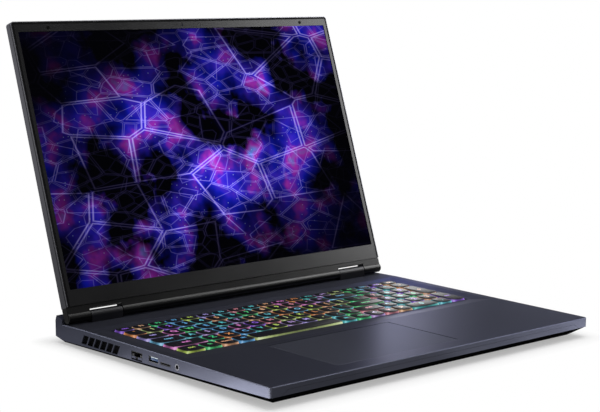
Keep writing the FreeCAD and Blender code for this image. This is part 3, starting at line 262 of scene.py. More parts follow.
def soft_rubber(name, colour, gloss=0.25, dusting=0.004):
    """Matt rubber with a fine skin and dusty patches."""
    material, shade, place = new_material(name)
    skin = place.noise(1500.0, 3.0)
    dust = place.noise(60.0, 4.0)
    light = [channel * 1.8 + dusting for channel in colour]
    linked = {
        "Base Color": (dust * 0.5).mix(colour, light),
        "Roughness": 0.72 + 0.2 * dust,
        "Normal": bumped(shade, skin, 0.25, 0.00005),
    }
    return finish_material(material, shade, linked, {"Specular IOR Level": gloss})


rubber = soft_rubber("black_rubber", (0.012, 0.012, 0.013))
FOOT_SPANS = [(-165, -60, 27), (60, 165, 27), (-165, 165, 262)]
FOOT_DEPTH = 8 * MM
FOOT_LOW = 0.5 * MM
FOOT_HIGH = 2 * MM
FRONT_EDGE = 187.0
RIB_COUNT = 3
RIB_FIRST = 0.9
RIB_PITCH = 2.3
RIB_INSET = 1.5
RIB_WIDTH = 1.6 * MM
RIB_HIGH = 0.9 * MM
bm = bmesh.new()
for left, right, front in FOOT_SPANS:
    y = (front - FRONT_EDGE) * MM
    block(bm, (left * MM, y, FOOT_LOW), (right * MM, y + FOOT_DEPTH, FOOT_HIGH), 0.4 * MM)
    for rib in range(RIB_COUNT):
        start = y + (RIB_FIRST + rib * RIB_PITCH) * MM
        rib_low = ((left + RIB_INSET) * MM, start, 0)
        rib_high = ((right - RIB_INSET) * MM, start + RIB_WIDTH, RIB_HIGH)
        block(bm, rib_low, rib_high, 0.3 * MM)
new_piece("ribbed_feet", bm, [rubber], "base", ["rubber_feet"])


def worked_steel(name, colour, roughness, scratch_axis="x"):
    """Machined steel with fine turning or rolling lines."""
    material, shade, place = new_material(name)
    stretch = {"x": (40.0, 4000.0, 4000.0), "y": (4000.0, 40.0, 4000.0), "z": (4000.0, 4000.0, 40.0)}
    mapped = shade.node("ShaderNodeMapping", {}, {"Vector": place, "Scale": stretch[scratch_axis]})
    lines = mapped.noise(1.0)
    dark = [channel * 0.75 for channel in colour]
    linked = {
        "Base Color": lines.mix(dark, colour),
        "Roughness": roughness + 0.15 * lines,
        "Normal": bumped(shade, lines, 0.08, 0.00003),
    }
    return finish_material(material, shade, linked, {"Metallic": 1.0})


screw_steel = worked_steel("screw_steel", (0.32, 0.32, 0.34), 0.28)
SCREW_SPOTS = [(x, y) for x in (-178, 178) for y in (40, 111.5, 262)] + [(0, 111.5)]
HEAD_RADIUS = 2.2 * MM
HEAD_FACE = 2.2 * MM
HEAD_TALL = 1.0 * MM
HEAD_TAPER = 0.72
RECESS_RIM = 1.1 * MM
RECESS_DEPTH = 0.7 * MM
SHANK_RADIUS = 1.05 * MM
SHANK_LENGTH = 8.4 * MM
SHANK_MIDDLE = 7.2 * MM
bm = bmesh.new()
for x, y in SCREW_SPOTS:
    middle = Vector((x * MM, (y - FRONT_EDGE) * MM, 0))
    head = bmesh.ops.create_cone(
        bm, cap_ends=True, segments=24, radius1=HEAD_RADIUS, radius2=HEAD_RADIUS * HEAD_TAPER,
        depth=HEAD_TALL, matrix=Matrix.Translation(middle + Vector((0, 0, HEAD_FACE + HEAD_TALL / 2))),
    )["verts"]
    face = min({f for v in head for f in v.link_faces}, key=lambda f: f.calc_center_median().z)
    bmesh.ops.inset_region(bm, faces=[face], thickness=RECESS_RIM)
    bmesh.ops.translate(bm, vec=(0, 0, RECESS_DEPTH), verts=face.verts)
    bmesh.ops.create_cone(
        bm, cap_ends=True, segments=12, radius1=SHANK_RADIUS, radius2=SHANK_RADIUS, depth=SHANK_LENGTH,
        matrix=Matrix.Translation(middle + Vector((0, 0, SHANK_MIDDLE))),
    )
new_piece("cover_screws", bm, [screw_steel], "base", ["case_screws"])


# Sockets of the left, right and rear walls.
# Folded steel shells with a moulded tongue, a black network housing with gold springs and a
# sprung drop jaw, a thin card slot, and an audio barrel with a steel ring and a black throat.

socket_steel = worked_steel("socket_shell_steel", (0.055, 0.055, 0.06), 0.35, "z")
socket_black = moulded_plastic("socket_black_plastic", (0.006, 0.006, 0.007), 0.5, 1400.0, gloss=0.1)
blue_tongue = moulded_plastic("blue_tongue_plastic", (0.008, 0.042, 0.13), 0.40, 1400.0, gloss=0.1)
# Pale plastic that is a painted highlight along the top of each USB tongue.
highlight_plastic = moulded_plastic("painted_highlight_plastic", (0.75, 0.86, 0.92), 0.35, 1400.0)
gold_spring = worked_steel("gold_spring_metal", (0.85, 0.60, 0.25), 0.2, "y")


def socket_shell(bm, low, high, outward, skin, depth, rounding=0.25 * MM):
    """A box with one open mouth on the side that faces outward."""
    outward = Vector(outward)
    verts = block(bm, low, high, rounding)
    faces = {face for vert in verts for face in vert.link_faces}
    bm.normal_update()
    mouth = max(faces, key=lambda face: face.normal.dot(outward) * face.calc_area())
    bmesh.ops.inset_region(bm, faces=[mouth], thickness=skin)
    grown = bmesh.ops.extrude_face_region(bm, geom=[mouth])
    inner = [item for item in grown["geom"] if isinstance(item, bmesh.types.BMVert)]
    bmesh.ops.translate(bm, vec=outward * -depth, verts=inner)
    if mouth.is_valid:
        bmesh.ops.delete(bm, geom=[mouth], context="FACES_ONLY")
    bm.normal_update()


USB_HALF = 6.6 * MM
USB_LENGTH = 14.5 * MM
USB_SKIN = 0.4 * MM
USB_BORE = 10.5 * MM
TONGUE_TIP = 0.25 * MM
TONGUE_ROOT = 10.6 * MM
TONGUE_DROP = 1.5 * MM
TONGUE_TALL = 2.2 * MM
HIGHLIGHT_TALL = 0.75 * MM
STRIP_COUNT = 4
STRIP_FIRST = -5.0
STRIP_PITCH = 2.4
STRIP_WIDTH = 1.1 * MM


def usb_sockets(name, node, side, places):
    """Type-A sockets on one wall, each with its blue tongue, a painted highlight on the tongue and four
    contact strips.
    """
    shells = bmesh.new()
    tongues = bmesh.new()
    caps = bmesh.new()
    strips = bmesh.new()
    low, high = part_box(node)
    wall = low.x if side < 0 else high.x
    for y in places:
        middle = (y - FRONT_EDGE) * MM
        shell_left, shell_right = sorted((wall, wall - side * USB_LENGTH))
        shell_low = (shell_left, middle - USB_HALF, low.z)
        shell_high = (shell_right, middle + USB_HALF, high.z)
        socket_shell(shells, shell_low, shell_high, (side, 0, 0), USB_SKIN, USB_BORE)
        tongue_left, tongue_right = sorted((wall - side * TONGUE_TIP, wall - side * TONGUE_ROOT))
        top = high.z - TONGUE_DROP
        tongue_low = (tongue_left, middle - 5.6 * MM, top - TONGUE_TALL)
        tongue_high = (tongue_right, middle + 4.4 * MM, top)
        block(tongues, tongue_low, tongue_high, 0.25 * MM)
        # A pale block on top of each tongue is a painted highlight, standing for the light on the tongue's
        # top edge.
        highlight_low = (tongue_left, middle - 5.5 * MM, top + 0.02 * MM)
        highlight_high = (tongue_right, middle + 4.3 * MM, top + HIGHLIGHT_TALL)
        block(caps, highlight_low, highlight_high, 0.15 * MM)
        for strip in range(STRIP_COUNT):
            start = middle + (STRIP_FIRST + strip * STRIP_PITCH) * MM
            strip_left, strip_right = sorted((wall - side * 1.8 * MM, wall - side * 9 * MM))
            strip_low = (strip_left, start, top - 2.35 * MM)
            strip_high = (strip_right, start + STRIP_WIDTH, top - 2.15 * MM)
            block(strips, strip_low, strip_high, 0.05 * MM)
    new_piece(f"{name}_shells", shells, [socket_steel], "base", [node])
    new_piece(f"{name}_tongues", tongues, [blue_tongue], "base")
    new_piece(f"{name}_tongue_highlight_caps", caps, [highlight_plastic], "base")
    new_piece(f"{name}_strips", strips, [gold_spring], "base")


usb_sockets("left_usb", "usb_port_left", -1, [147.8])
usb_sockets("right_usb", "usb_ports_right", 1, [131, 152])

bm = bmesh.new()
low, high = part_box("ethernet_jack")
socket_shell(bm, low, high, (-1, 0, 0), 0.75 * MM, 12.3 * MM, 0.15 * MM)
GUIDE_INSET = 0.6 * MM
GUIDE_REACH = 3.6 * MM
for start, end in (
    (low.y + GUIDE_INSET, low.y + GUIDE_REACH), (high.y - GUIDE_REACH, high.y - GUIDE_INSET)
):
    guide_low = (low.x + 0.1 * MM, start, low.z + 0.4 * MM)
    guide_high = (low.x + 9 * MM, end, high.z - 2.0 * MM)
    block(bm, guide_low, guide_high, 0.2 * MM)
new_piece("network_housing", bm, [socket_black], "base", ["ethernet_jack"])
bm = bmesh.new()
SPRING_COUNT = 8
SPRING_PITCH = 1.02
SPRING_HALF = 0.2 * MM
SPRING_BEND = 5 * MM
SPRING_FALL = 0.3
for spring in range(SPRING_COUNT):
    y = (low.y + high.y) / 2 + (spring - (SPRING_COUNT - 1) / 2) * SPRING_PITCH * MM
    spring_low = (low.x + 3.5 * MM, y - SPRING_HALF, high.z - 1.5 * MM)
    spring_high = (low.x + 11.5 * MM, y + SPRING_HALF, high.z - 1.1 * MM)
    for vert in block(bm, spring_low, spring_high, 0.08 * MM):
        vert.co.z -= max(0.0, vert.co.x - low.x - SPRING_BEND) * SPRING_FALL
new_piece("network_springs", bm, [gold_spring], "base")

# The jaw closes the lower part of the opening with a thin face that is notched for the plug's latch.
# Its pin reaches past the face on both sides.
low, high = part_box("ethernet_jaw")
JAW_TOP = 10.2 * MM
JAW_SKIN = 0.28 * MM
NOTCH_HALF = 1.7 * MM
NOTCH_DEPTH = 2 * MM
PIN_REACH = 1.2 * MM
PIN_RADIUS = 0.5 * MM
PIN_INSET = 0.9 * MM
bm = bmesh.new()
jaw_front = low.y + PIN_REACH
jaw_rear = high.y - PIN_REACH
block(bm, (low.x, jaw_front, low.z), (high.x, jaw_rear, high.z), 0.1 * MM)
middle = (low.y + high.y) / 2
for start, end, top in (
    (jaw_front, middle - NOTCH_HALF, JAW_TOP),
    (middle - NOTCH_HALF, middle + NOTCH_HALF, JAW_TOP - NOTCH_DEPTH),
    (middle + NOTCH_HALF, jaw_rear, JAW_TOP),
):
    block(bm, (low.x, start, low.z), (low.x + JAW_SKIN, end, top), 0.06 * MM, 1)
pin_spot = Matrix.Translation((low.x + PIN_INSET, middle, low.z + PIN_RADIUS))
bmesh.ops.create_cone(
    bm, cap_ends=True, segments=16, radius1=PIN_RADIUS, radius2=PIN_RADIUS, depth=high.y - low.y,
    matrix=pin_spot @ Matrix.Rotation(math.pi / 2, 4, "X"),
)
new_piece("network_jaw_face", bm, [deck_metal], "network_jaw", ["ethernet_jaw"])

bm = bmesh.new()
low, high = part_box("card_reader")
socket_shell(bm, low, high, (-1, 0, 0), 0.6 * MM, 11 * MM, 0.2 * MM)
new_piece("card_slot_shell", bm, [socket_black], "base", ["card_reader"])


def barrel(bm, spot, outline, segments=28):
    """Turns an outline of (radius, depth) points about an X axis through spot."""
    verts = [bm.verts.new(spot + Vector((depth * MM, 0, radius * MM))) for radius, depth in outline]
    edges = [bm.edges.new(pair) for pair in zip(verts, verts[1:])]
    bmesh.ops.spin(
        bm, geom=verts + edges, cent=spot, axis=(1, 0, 0), angle=math.tau, steps=segments, use_merge=True
    )
    bmesh.ops.remove_doubles(bm, verts=bm.verts[:], dist=0.00001)
    bmesh.ops.recalc_face_normals(bm, faces=bm.faces[:])


low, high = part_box("audio_jack")
mouth = Vector((low.x, (low.y + high.y) / 2, (low.z + high.z) / 2))
bm = bmesh.new()
barrel(bm, mouth, [(3.0, 14), (3.0, 0.25), (2.8, 0.05), (2.0, 0.05), (1.75, 0.4), (1.75, 14)])
ring_steel = worked_steel("audio_ring_steel", (0.07, 0.07, 0.08), 0.5)
new_piece("audio_barrel", bm, [ring_steel], "base", ["audio_jack"])
bm = bmesh.new()
barrel(bm, mouth, [(1.74, 0.5), (1.74, 13.9), (1.6, 13.9), (1.6, 0.5), (1.74, 0.5)])
new_piece("audio_throat", bm, [socket_black], "base")
dress(socket_steel, "rear_ports")


# Keyboard.
# Moulded black caps on clear skirts that a colour light sheet shines through; every cap has its
# own colour, and the same light comes up through the thin cut of its legend.

KEY_UNIT = 18.8
KEYS_LEFT = -KEY_UNIT * 19 / 2
KEYS_FRONT = 130.6
FUNCTION_DEPTH = 13.2
KEY_GAP = 2.6
KEY_INSET = 0.8
KEY_LOW = 16.2
KEY_HIGH = 19.3
KEY_CORNER = 1.1 * MM
KEY_EDGE = 0.35 * MM
FUNCTION_ROW = 5
LETTER_SIZE = 8.4 * MM
WORD_SIZE = 5.6 * MM
LEGEND_LIFT = 0.02
LAMP_COLOURS = [
    (0.36, 0.14, 0.95), (1.00, 0.36, 0.10), (0.50, 0.42, 1.00), (0.22, 0.66, 1.00), (0.95, 0.28, 0.78),
    (0.62, 0.82, 0.14), (0.10, 0.82, 0.26), (1.00, 0.50, 0.26), (0.14, 0.52, 1.00), (0.66, 0.80, 0.30),
    (0.12, 0.78, 0.86), (0.06, 0.80, 0.30), (0.62, 0.42, 0.92), (0.95, 0.34, 0.42), (1.00, 0.58, 0.32),
    (0.08, 0.62, 0.62), (0.16, 0.76, 0.90),
]


def key_run(row, start, widths, legends):
    """Keys side by side in one row, as (row, rows, start, width, legend) in key units."""
    keys = []
    for width, legend in zip(widths, legends):
        keys.append((row, 1, start, width, legend))
        start += width
    return keys


KEY_ROWS = {
    "function_keys": key_run(
        5, 0, [1] * 18, ["esc"] + [f"F{n}" for n in range(1, 13)] + ["prt", "ins", "del", "hm", "end"]
    ),
    "power_key": key_run(5, 18, [1], ["o"]),
    "number_keys": key_run(4, 0, [1] * 13 + [2], list("`1234567890-=") + ["back"]),
    "upper_letter_keys": key_run(3, 0, [1.5] + [1] * 12 + [1.5], ["tab"] + list("QWERTYUIOP[]\\")),
    "home_letter_keys": key_run(2, 0, [1.75] + [1] * 11, ["caps"] + list("ASDFGHJKL;'")),
    "enter_key": key_run(2, 12.75, [2.25], ["enter"]),
    "left_shift_key": key_run(1, 0, [2.25], ["shift"]),
    "lower_letter_keys": key_run(1, 2.25, [1] * 10 + [1.75], list("ZXCVBNM,./") + ["shift"]),
    "bottom_row_keys": key_run(0, 0, [1.25, 1, 1, 1], ["ctrl", "fn", "menu", "alt"])
    + key_run(0, 10, [1, 1], ["alt", "ctrl"]),
    "space_bar": key_run(0, 4.25, [5.75], [""]),
    "arrow_keys": key_run(0, 12, [1] * 3, list("<v>")) + key_run(1, 14, [1], ["^"]),
    "numpad_keys": key_run(4, 15, [1] * 4, ["num", "/", "*", "-"])
    + key_run(3, 15, [1] * 3, list("789"))
    + key_run(2, 15, [1] * 3, list("456"))
    + key_run(1, 15, [1] * 3, list("123"))
    + key_run(0, 15, [2, 1], list("0."))
    + [(2, 2, 18, 1, "+"), (0, 2, 18, 1, "ent")],
}
SKIRT_LIT = 18.0 * MM
SKIRT_DARK = 18.65 * MM
CORNER_RISE = 0.7 * MM


def lit_material(name, strength, skirt):
    """Plastic that glows in the colour stored on each key; a skirt glows at its foot and corners."""
    material, shade, place = new_material(name)
    colour = shade.node("ShaderNodeAttribute", {"attribute_name": "lamp"}, output="Color")
    haze = place.noise(420.0)
    if skirt:
        corner = shade.node("ShaderNodeAttribute", {"attribute_name": "corner"}, output="Fac")
        rise = CORNER_RISE * corner**3.0 * (2.2 * haze - 0.3)
        foot = ((SKIRT_DARK + rise - place.part("Z")) / (SKIRT_DARK - SKIRT_LIT)).clamp()
        glow = (foot * (0.05 + 0.75 * corner**2.0 + 0.35 * haze)).clamp()
        lamp = glow.mix((0.0, 0.0, 0.0), colour)
        lamp = (0.5 * foot * corner**8.0).mix(lamp, (1.0, 1.0, 1.0))
    else:
        lamp = (0.55 + 0.5 * haze).clamp().mix((0.0, 0.0, 0.0), colour)
    linked = {"Base Color": haze.mix((0.008, 0.008, 0.009), (0.014, 0.014, 0.016)), "Emission Color": lamp}
    fixed = {"Roughness": 0.45, "Specular IOR Level": 0.02, "Emission Strength": strength}
    return finish_material(material, shade, linked, fixed)


key_plastic = moulded_plastic("key_cap_plastic", (0.008, 0.008, 0.010), 0.48, 2000.0, 0.00003, 0.008)
key_skirt = lit_material("lit_key_skirt", 0.8, True)
key_legend = lit_material("lit_key_legend", 0.85, False)


def lamp_colour(row, start):
    """A key's light: its colour depends on its row and on how many keys stand left of it."""
    place = sum(1 for keys in KEY_ROWS.values() for key in keys if key[0] == row and key[2] < start)
    return LAMP_COLOURS[(5 - row + place + 6 * row * place) % len(LAMP_COLOURS)]


def is_level(edge):
    return abs(edge.verts[0].co.z - edge.verts[1].co.z) < 0.5 * MM


def key_cap(bm, row, rows, start, width):
    """One tapered key cap with round corners; gives its middle and half size."""
    left = KEYS_LEFT + start * KEY_UNIT + KEY_GAP / 2
    right = left + width * KEY_UNIT - KEY_GAP
    front = KEYS_FRONT + row * KEY_UNIT + KEY_GAP / 2
    depth = FUNCTION_DEPTH if row == FUNCTION_ROW else rows * KEY_UNIT
    rear = front + depth - KEY_GAP
    middle = Vector(((left + right) / 2, (front + rear) / 2 - FRONT_EDGE, 0)) * MM
    half = Vector(((right - left) / 2, (rear - front) / 2, 0)) * MM
    verts = bmesh.ops.create_cube(bm, size=2.0)["verts"]
    for vert in verts:
        top = vert.co.z > 0
        inset = KEY_INSET * MM if top else 0.0
        vert.co = Vector((
            middle.x + vert.co.x * (half.x - inset),
            middle.y + vert.co.y * (half.y - inset),
            (KEY_HIGH if top else KEY_LOW) * MM,
        ))
    edges = {edge for vert in verts for edge in vert.link_edges}
    steep = [edge for edge in edges if not is_level(edge)]
    made = bmesh.ops.bevel(
        bm, geom=steep, offset=KEY_CORNER, affect="EDGES", segments=2, profile=0.5, material=-1
    )
    around = {linked for face in made["faces"] for edge in face.edges for linked in edge.link_faces}
    verts = {vert for face in around for vert in face.verts}
    edges = {edge for vert in verts for edge in vert.link_edges}
    long_edges = [edge for edge in edges if is_level(edge) and edge.calc_length() > 3.0 * MM]
    bmesh.ops.subdivide_edges(bm, edges=long_edges, cuts=1)
    return middle, half


for body, keys in KEY_ROWS.items():
    bm = bmesh.new()
    lamp = bm.verts.layers.float_color.new("lamp")
    corner = bm.verts.layers.float.new("corner")
    caps = []
    for row, rows, start, width, legend in keys:
        caps.append((*key_cap(bm, row, rows, start, width), lamp_colour(row, start)))
    bm.normal_update()
    rims = []
    for edge in bm.edges:
        slopes = [face.normal.z for face in edge.link_faces]
        if len(slopes) == 2 and max(slopes) > 0.9 and min(slopes) < 0.9:
            rims.append(edge)
    bmesh.ops.bevel(bm, geom=rims, offset=KEY_EDGE, affect="EDGES", segments=2, profile=0.5, material=-1)
    bm.normal_update()
    for vert in bm.verts:
        for middle, half, colour in caps:
            share_x = abs(vert.co.x - middle.x) / half.x
            share_y = abs(vert.co.y - middle.y) / half.y
            if max(share_x, share_y) < 1.05:
                vert[lamp] = (*colour, 1.0)
                vert[corner] = min(share_x, share_y)
    for face in bm.faces:
        face.material_index = 0 if face.normal.z > 0.45 else 1
    new_piece(f"{body}_caps", bm, [key_plastic, key_skirt], body, [body], 25.0)


def legend_points(text, size):
    """The flat mesh of a short legend, centred on the origin."""
    curve = bpy.data.curves.new("legend", "FONT")
    curve.body = text
    curve.size = size
    curve.align_x = "CENTER"
    curve.align_y = "CENTER"
    curve.resolution_u = 2
    curve.offset = 0.03 * size
    writer = bpy.data.objects.new("legend", curve)
    bpy.context.scene.collection.objects.link(writer)
    bpy.context.view_layer.update()
    mesh = bpy.data.meshes.new_from_object(writer)
    bpy.data.objects.remove(writer)
    bpy.data.curves.remove(curve)
    return mesh


for body, keys in KEY_ROWS.items():
    bm = bmesh.new()
    lamp = bm.verts.layers.float_color.new("lamp")
    for row, rows, start, width, legend in keys:
        if not legend:
            continue
        mesh = legend_points(legend, LETTER_SIZE if len(legend) == 1 else WORD_SIZE)
        bm.from_mesh(mesh)
        bpy.data.meshes.remove(mesh)
        depth = FUNCTION_DEPTH if row == FUNCTION_ROW else rows * KEY_UNIT
        x = KEYS_LEFT + (start + width / 2) * KEY_UNIT
        y = KEYS_FRONT + row * KEY_UNIT + depth / 2 - FRONT_EDGE
        fresh = [vert for vert in bm.verts if not vert.tag]
        bmesh.ops.translate(bm, vec=(x * MM, y * MM, (KEY_HIGH + LEGEND_LIFT) * MM), verts=fresh)
        for vert in fresh:
            vert.tag = True
            vert[lamp] = (*lamp_colour(row, start), 1.0)
    if bm.verts:
        new_piece(f"{body}_legends", bm, [key_legend], body)
    else:
        bm.free()


def light_sheet_material():
    """The diffuser under the caps: grey film, dim except where colour leaks through."""
    material, shade, place = new_material("key_light_film")
    leak = place.noise(60.0)
    tint = shade.node(
        "ShaderNodeTexNoise", {}, {"Vector": place, "Scale": 40.0, "Detail": 0.0}, "Color"
    )
    linked = {
        "Base Color": leak.mix((0.010, 0.010, 0.012), (0.03, 0.03, 0.034)),
        "Emission Color": (leak * leak * 0.25).mix((0.0, 0.0, 0.0), tint),
    }
    fixed = {"Roughness": 0.6, "Specular IOR Level": 0.02, "Emission Strength": 0.4}
    return finish_material(material, shade, linked, fixed)


dress(light_sheet_material(), "key_light_sheet")
pressed_steel = worked_steel("pressed_steel_sheet", (0.30, 0.30, 0.32), 0.35)
dress(pressed_steel, "keyboard_plate", "touchpad_tray")


# Touchpad.
# An etched glass plate dyed to match the deck, with a narrow polished chamfer all round.

PAD_GLINT = 0.36


def etched_glass(name, colour):
    """Finely etched and dyed glass with a soft metallic sheen."""
    material, shade, place = new_material(name)
    etch = place.noise(3200.0)
    cloud = place.noise(18.0)
    light = [channel * 1.15 for channel in colour]
    linked = {
        "Base Color": cloud.mix(colour, light),
        "Roughness": 0.31 + 0.06 * cloud,
        "Normal": bumped(shade, etch, 0.05, 0.00002),
    }
    fixed = {"Metallic": PAD_GLINT, "Specular IOR Level": 0.0, "Specular Tint": (*DECK_EDGE, 1.0)}
    return finish_material(material, shade, linked, fixed)


pad_glass = etched_glass("etched_pad_glass", (0.040, 0.042, 0.053))
bm = bmesh.new()
low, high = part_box("touchpad_glass")
block(bm, low, high, 0.3 * MM, 1)
new_piece("touchpad_plate", bm, [pad_glass], "touchpad", ["touchpad_glass"], 10.0)


# Hinges.
# Two die-cast blocks on the base, painted satin black, that stand in notches of the lid; steel
# pins and leaves join them to the lid out of sight.

hinge_paint = moulded_plastic("hinge_satin_paint", (0.004, 0.004, 0.006), 0.4, 1600.0, 0.00002, 0.05)
dress(hinge_paint, "hinge_blocks")
hinge_steel = worked_steel("hinge_steel", (0.40, 0.40, 0.42), 0.25)
dress(hinge_steel, "hinge_pins", "lid_hinge_brackets", "hinge_base_brackets")


# Lid shell.
# A stamped aluminium back cover and an inner frame, a rounded lower strip painted satin black, and
# a dark rubber cord in the groove between cover and frame.

HINGE_AXIS = Vector((0, (276.5 - FRONT_EDGE) * MM, 24.5 * MM))
LID_TURN = math.radians(180 - 109.6)
LID_UP = Vector((0, math.cos(LID_TURN), math.sin(LID_TURN)))
LID_OUT = Vector((0, -math.sin(LID_TURN), math.cos(LID_TURN)))
LID_AXES = Matrix((Vector((1, 0, 0)), LID_UP, LID_OUT)).transposed().to_4x4()
LID_PLACE = Matrix.Translation(HINGE_AXIS) @ LID_AXES
lid_metal = blasted_metal("lid_anodised_metal", (0.046, 0.046, 0.050), 0.40, (0.40, 0.40, 0.42))
strip_paint = moulded_plastic("strip_satin_paint", (0.0016, 0.0016, 0.0018), 0.30, 1100.0, 0.00003, 0.045)
dress(lid_metal, "lid_back_cover", "lid_frame")
dress(strip_paint, "lid_lower_strip")
gasket_rubber = soft_rubber("lid_gasket_rubber", (0.0012, 0.0012, 0.0014), 0.02, 0.0008)
dress(gasket_rubber, "lid_groove_gasket", "bezel_gasket", "lid_bumpers")

# A soft pad lines the top of each notch.
NOTCH_SPAN = (140.0, 176.0)
PAD_HEIGHTS = (5.9 * MM, 6.58 * MM)
PAD_FACES = (-4.6 * MM, 3.4 * MM)
bm = bmesh.new()
for side in (-1, 1):
    ends = sorted(side * end * MM for end in NOTCH_SPAN)
    pad_low, pad_high = zip(ends, PAD_HEIGHTS, PAD_FACES)
    block(bm, pad_low, pad_high, 0.15 * MM)
bmesh.ops.transform(bm, matrix=LID_PLACE, verts=bm.verts)
new_piece("notch_pads", bm, [rubber], "lid")


# Bezel, display and camera.
# A matt plastic bezel round a matt liquid-crystal panel that shows a drift of lit crystals; a
# small camera with a glass lens sits in the top bar.

bezel_plastic = moulded_plastic("bezel_plastic", (0.0012, 0.0012, 0.0018), 0.30, 1100.0, 0.00001, 0.06)
dress(bezel_plastic, "display_bezel")

SCREEN_LOW = 24.9 * MM
SCREEN_HIGH = SCREEN_LOW + 242.3 * MM
SCREEN_HALF = 0.5 * 387.7 * MM
SCREEN_MIDDLE = (SCREEN_LOW + SCREEN_HIGH) / 2
BEZEL_FACE = 4.8 * MM
PANEL_FACE = 3.8 * MM
RIM_WIDTH = 0.25 * MM
rim_plastic = moulded_plastic("bezel_rim_plastic", (0.003, 0.003, 0.004), 0.35, 1100.0, 0.00003, 0.1)
bm = bmesh.new()
corners = [
    (-SCREEN_HALF, SCREEN_LOW), (SCREEN_HALF, SCREEN_LOW),
    (SCREEN_HALF, SCREEN_HIGH), (-SCREEN_HALF, SCREEN_HIGH),
]
opening = bm.faces.new([bm.verts.new((x, up, BEZEL_FACE)) for x, up in corners])
bmesh.ops.inset_region(bm, faces=[opening], thickness=RIM_WIDTH, use_boundary=True, use_even_offset=True)
bmesh.ops.translate(bm, vec=(0, 0, PANEL_FACE - BEZEL_FACE + 0.05 * MM), verts=opening.verts)
bmesh.ops.delete(bm, geom=[opening], context="FACES_ONLY")
bmesh.ops.solidify(bm, geom=bm.faces[:], thickness=0.1 * MM)
bmesh.ops.transform(bm, matrix=LID_PLACE, verts=bm.verts)
new_piece("bezel_inner_rim", bm, [rim_plastic], "lid")


# Each set of crystals has a scale, a turn, a stretch, a line width and a strength.
FACETS = [
    (2.3, math.radians(28), 1.9, 0.016, 0.9),
    (4.6, math.radians(-35), 2.2, 0.020, 0.55),
    (9.5, math.radians(62), 1.7, 0.030, 0.35),
]


def display_material():
    """A lit panel: a drift of dark crystals with lilac edges over blue and violet glows on black."""
    material, shade, place = new_material("lit_display")
    across = place.part("X") / SCREEN_HALF
    from_axis = shade.node("ShaderNodeVectorMath", {"operation": "SUBTRACT"}, {0: place, 1: HINGE_AXIS})
    up_screen = shade.node(
        "ShaderNodeVectorMath", {"operation": "DOT_PRODUCT"}, {0: from_axis, 1: LID_UP}, "Value"
    )
    height = (up_screen - SCREEN_MIDDLE) / SCREEN_HALF
    spot = shade.node("ShaderNodeCombineXYZ", {}, {"X": across, "Y": height})

    def crystals(scale, feature, output, turn, stretch):
        turned = shade.node(
            "ShaderNodeMapping", {}, {"Vector": spot, "Rotation": (0, 0, turn), "Scale": (1.0, stretch, 1.0)}
        )
        settings = {"voronoi_dimensions": "2D", "feature": feature}
        return shade.node("ShaderNodeTexVoronoi", settings, {"Vector": turned, "Scale": scale}, output)

    cloud = spot.noise(2.4, 4.0)
    ripple = spot.noise(5.0, 3.0)
    along = 0.80 * across + 0.60 * height
    aside = 0.80 * height - 0.60 * across
    body = (-4.2 * aside * aside - 0.9 * along * along).apply("EXPONENT")
    haze = ((cloud - 0.45) * 5.5).clamp()
    tone = shade.node(
        "ShaderNodeValToRGB",
        {"stops": [
            (0.20, (0.004, 0.008, 0.22)), (0.42, (0.012, 0.02, 0.80)), (0.54, (0.07, 0.03, 0.80)),
            (0.64, (0.50, 0.04, 0.62)), (0.76, (0.04, 0.28, 0.80)),
        ]},
        {"Fac": ripple},
    )
    picture = (0.9 * body * haze * cloud).clamp().mix((0.0002, 0.0002, 0.0008), tone)
    for scale, turn, stretch, line, strength in FACETS:
        edge = crystals(scale, "DISTANCE_TO_EDGE", "Distance", turn, stretch)
        facet = crystals(scale, "F1", "Color", turn, stretch)
        chosen = facet.part("X") > 0.35
        slope = (0.5 + 0.9 * (facet.part("Y") - 0.5) * (along + aside)).clamp()
        fill = chosen * body * haze * slope * facet.part("Z") ** 2.0
        picture = (0.9 * strength * fill).clamp().mix(picture, tone, "ADD")
        rim = (1.0 - (edge - 1.6 * line).apply("ABSOLUTE") / line).clamp()
        glow = (1.0 - edge / (7.0 * line)).clamp() ** 2.0
        lit = chosen * (1.3 * body * (0.04 + haze)).clamp()
        picture = (0.45 * strength * glow * lit * body).clamp().mix(picture, (0.04, 0.02, 0.80), "ADD")
        picture = (strength * rim * lit).clamp().mix(picture, (0.50, 0.42, 0.95))
    spark = crystals(34.0, "F1", "Distance", 0.3, 1.0)
    glint = (1.0 - spark * 9.0).clamp() * (crystals(34.0, "F1", "Color", 0.3, 1.0).part("X") > 0.80)
    picture = (glint * body * haze).clamp().mix(picture, (0.62, 0.72, 0.95))
    linked = {
        "Base Color": ripple.mix((0.0005, 0.0005, 0.0005), (0.001, 0.001, 0.001)),
        "Emission Color": picture,
    }
    fixed = {"Roughness": 0.5, "Specular IOR Level": 0.0, "Emission Strength": 1.35}
    return finish_material(material, shade, linked, fixed)


dress(display_material(), "display_panel")
lens_glass = moulded_plastic("camera_lens_glass", (0.006, 0.006, 0.012), 0.08, 300.0, 0.00001)
dress(lens_glass, "webcam_lens")
CAMERA_UP = 270.9 * MM
bm = bmesh.new()
DOT_SPOTS = [(-22.0, 0.45), (-7.0, 0.4), (22.0, 0.45)]
for x, radius in DOT_SPOTS:
    spot = Matrix.Translation((x * MM, CAMERA_UP, BEZEL_FACE - 0.1 * MM))
    bmesh.ops.create_cone(
        bm, cap_ends=True, segments=16, radius1=radius * MM, radius2=radius * MM, depth=0.3 * MM, matrix=spot
    )
bmesh.ops.transform(bm, matrix=LID_PLACE, verts=bm.verts)
new_piece("microphone_dots", bm, [socket_black], "lid")


# Boards, cooling, battery and modules, all inside the case.
# Green circuit boards with black chips, flattened copper pipes on aluminium fins, two fans with
# moulded rotors, and black-wrapped cells and speakers.

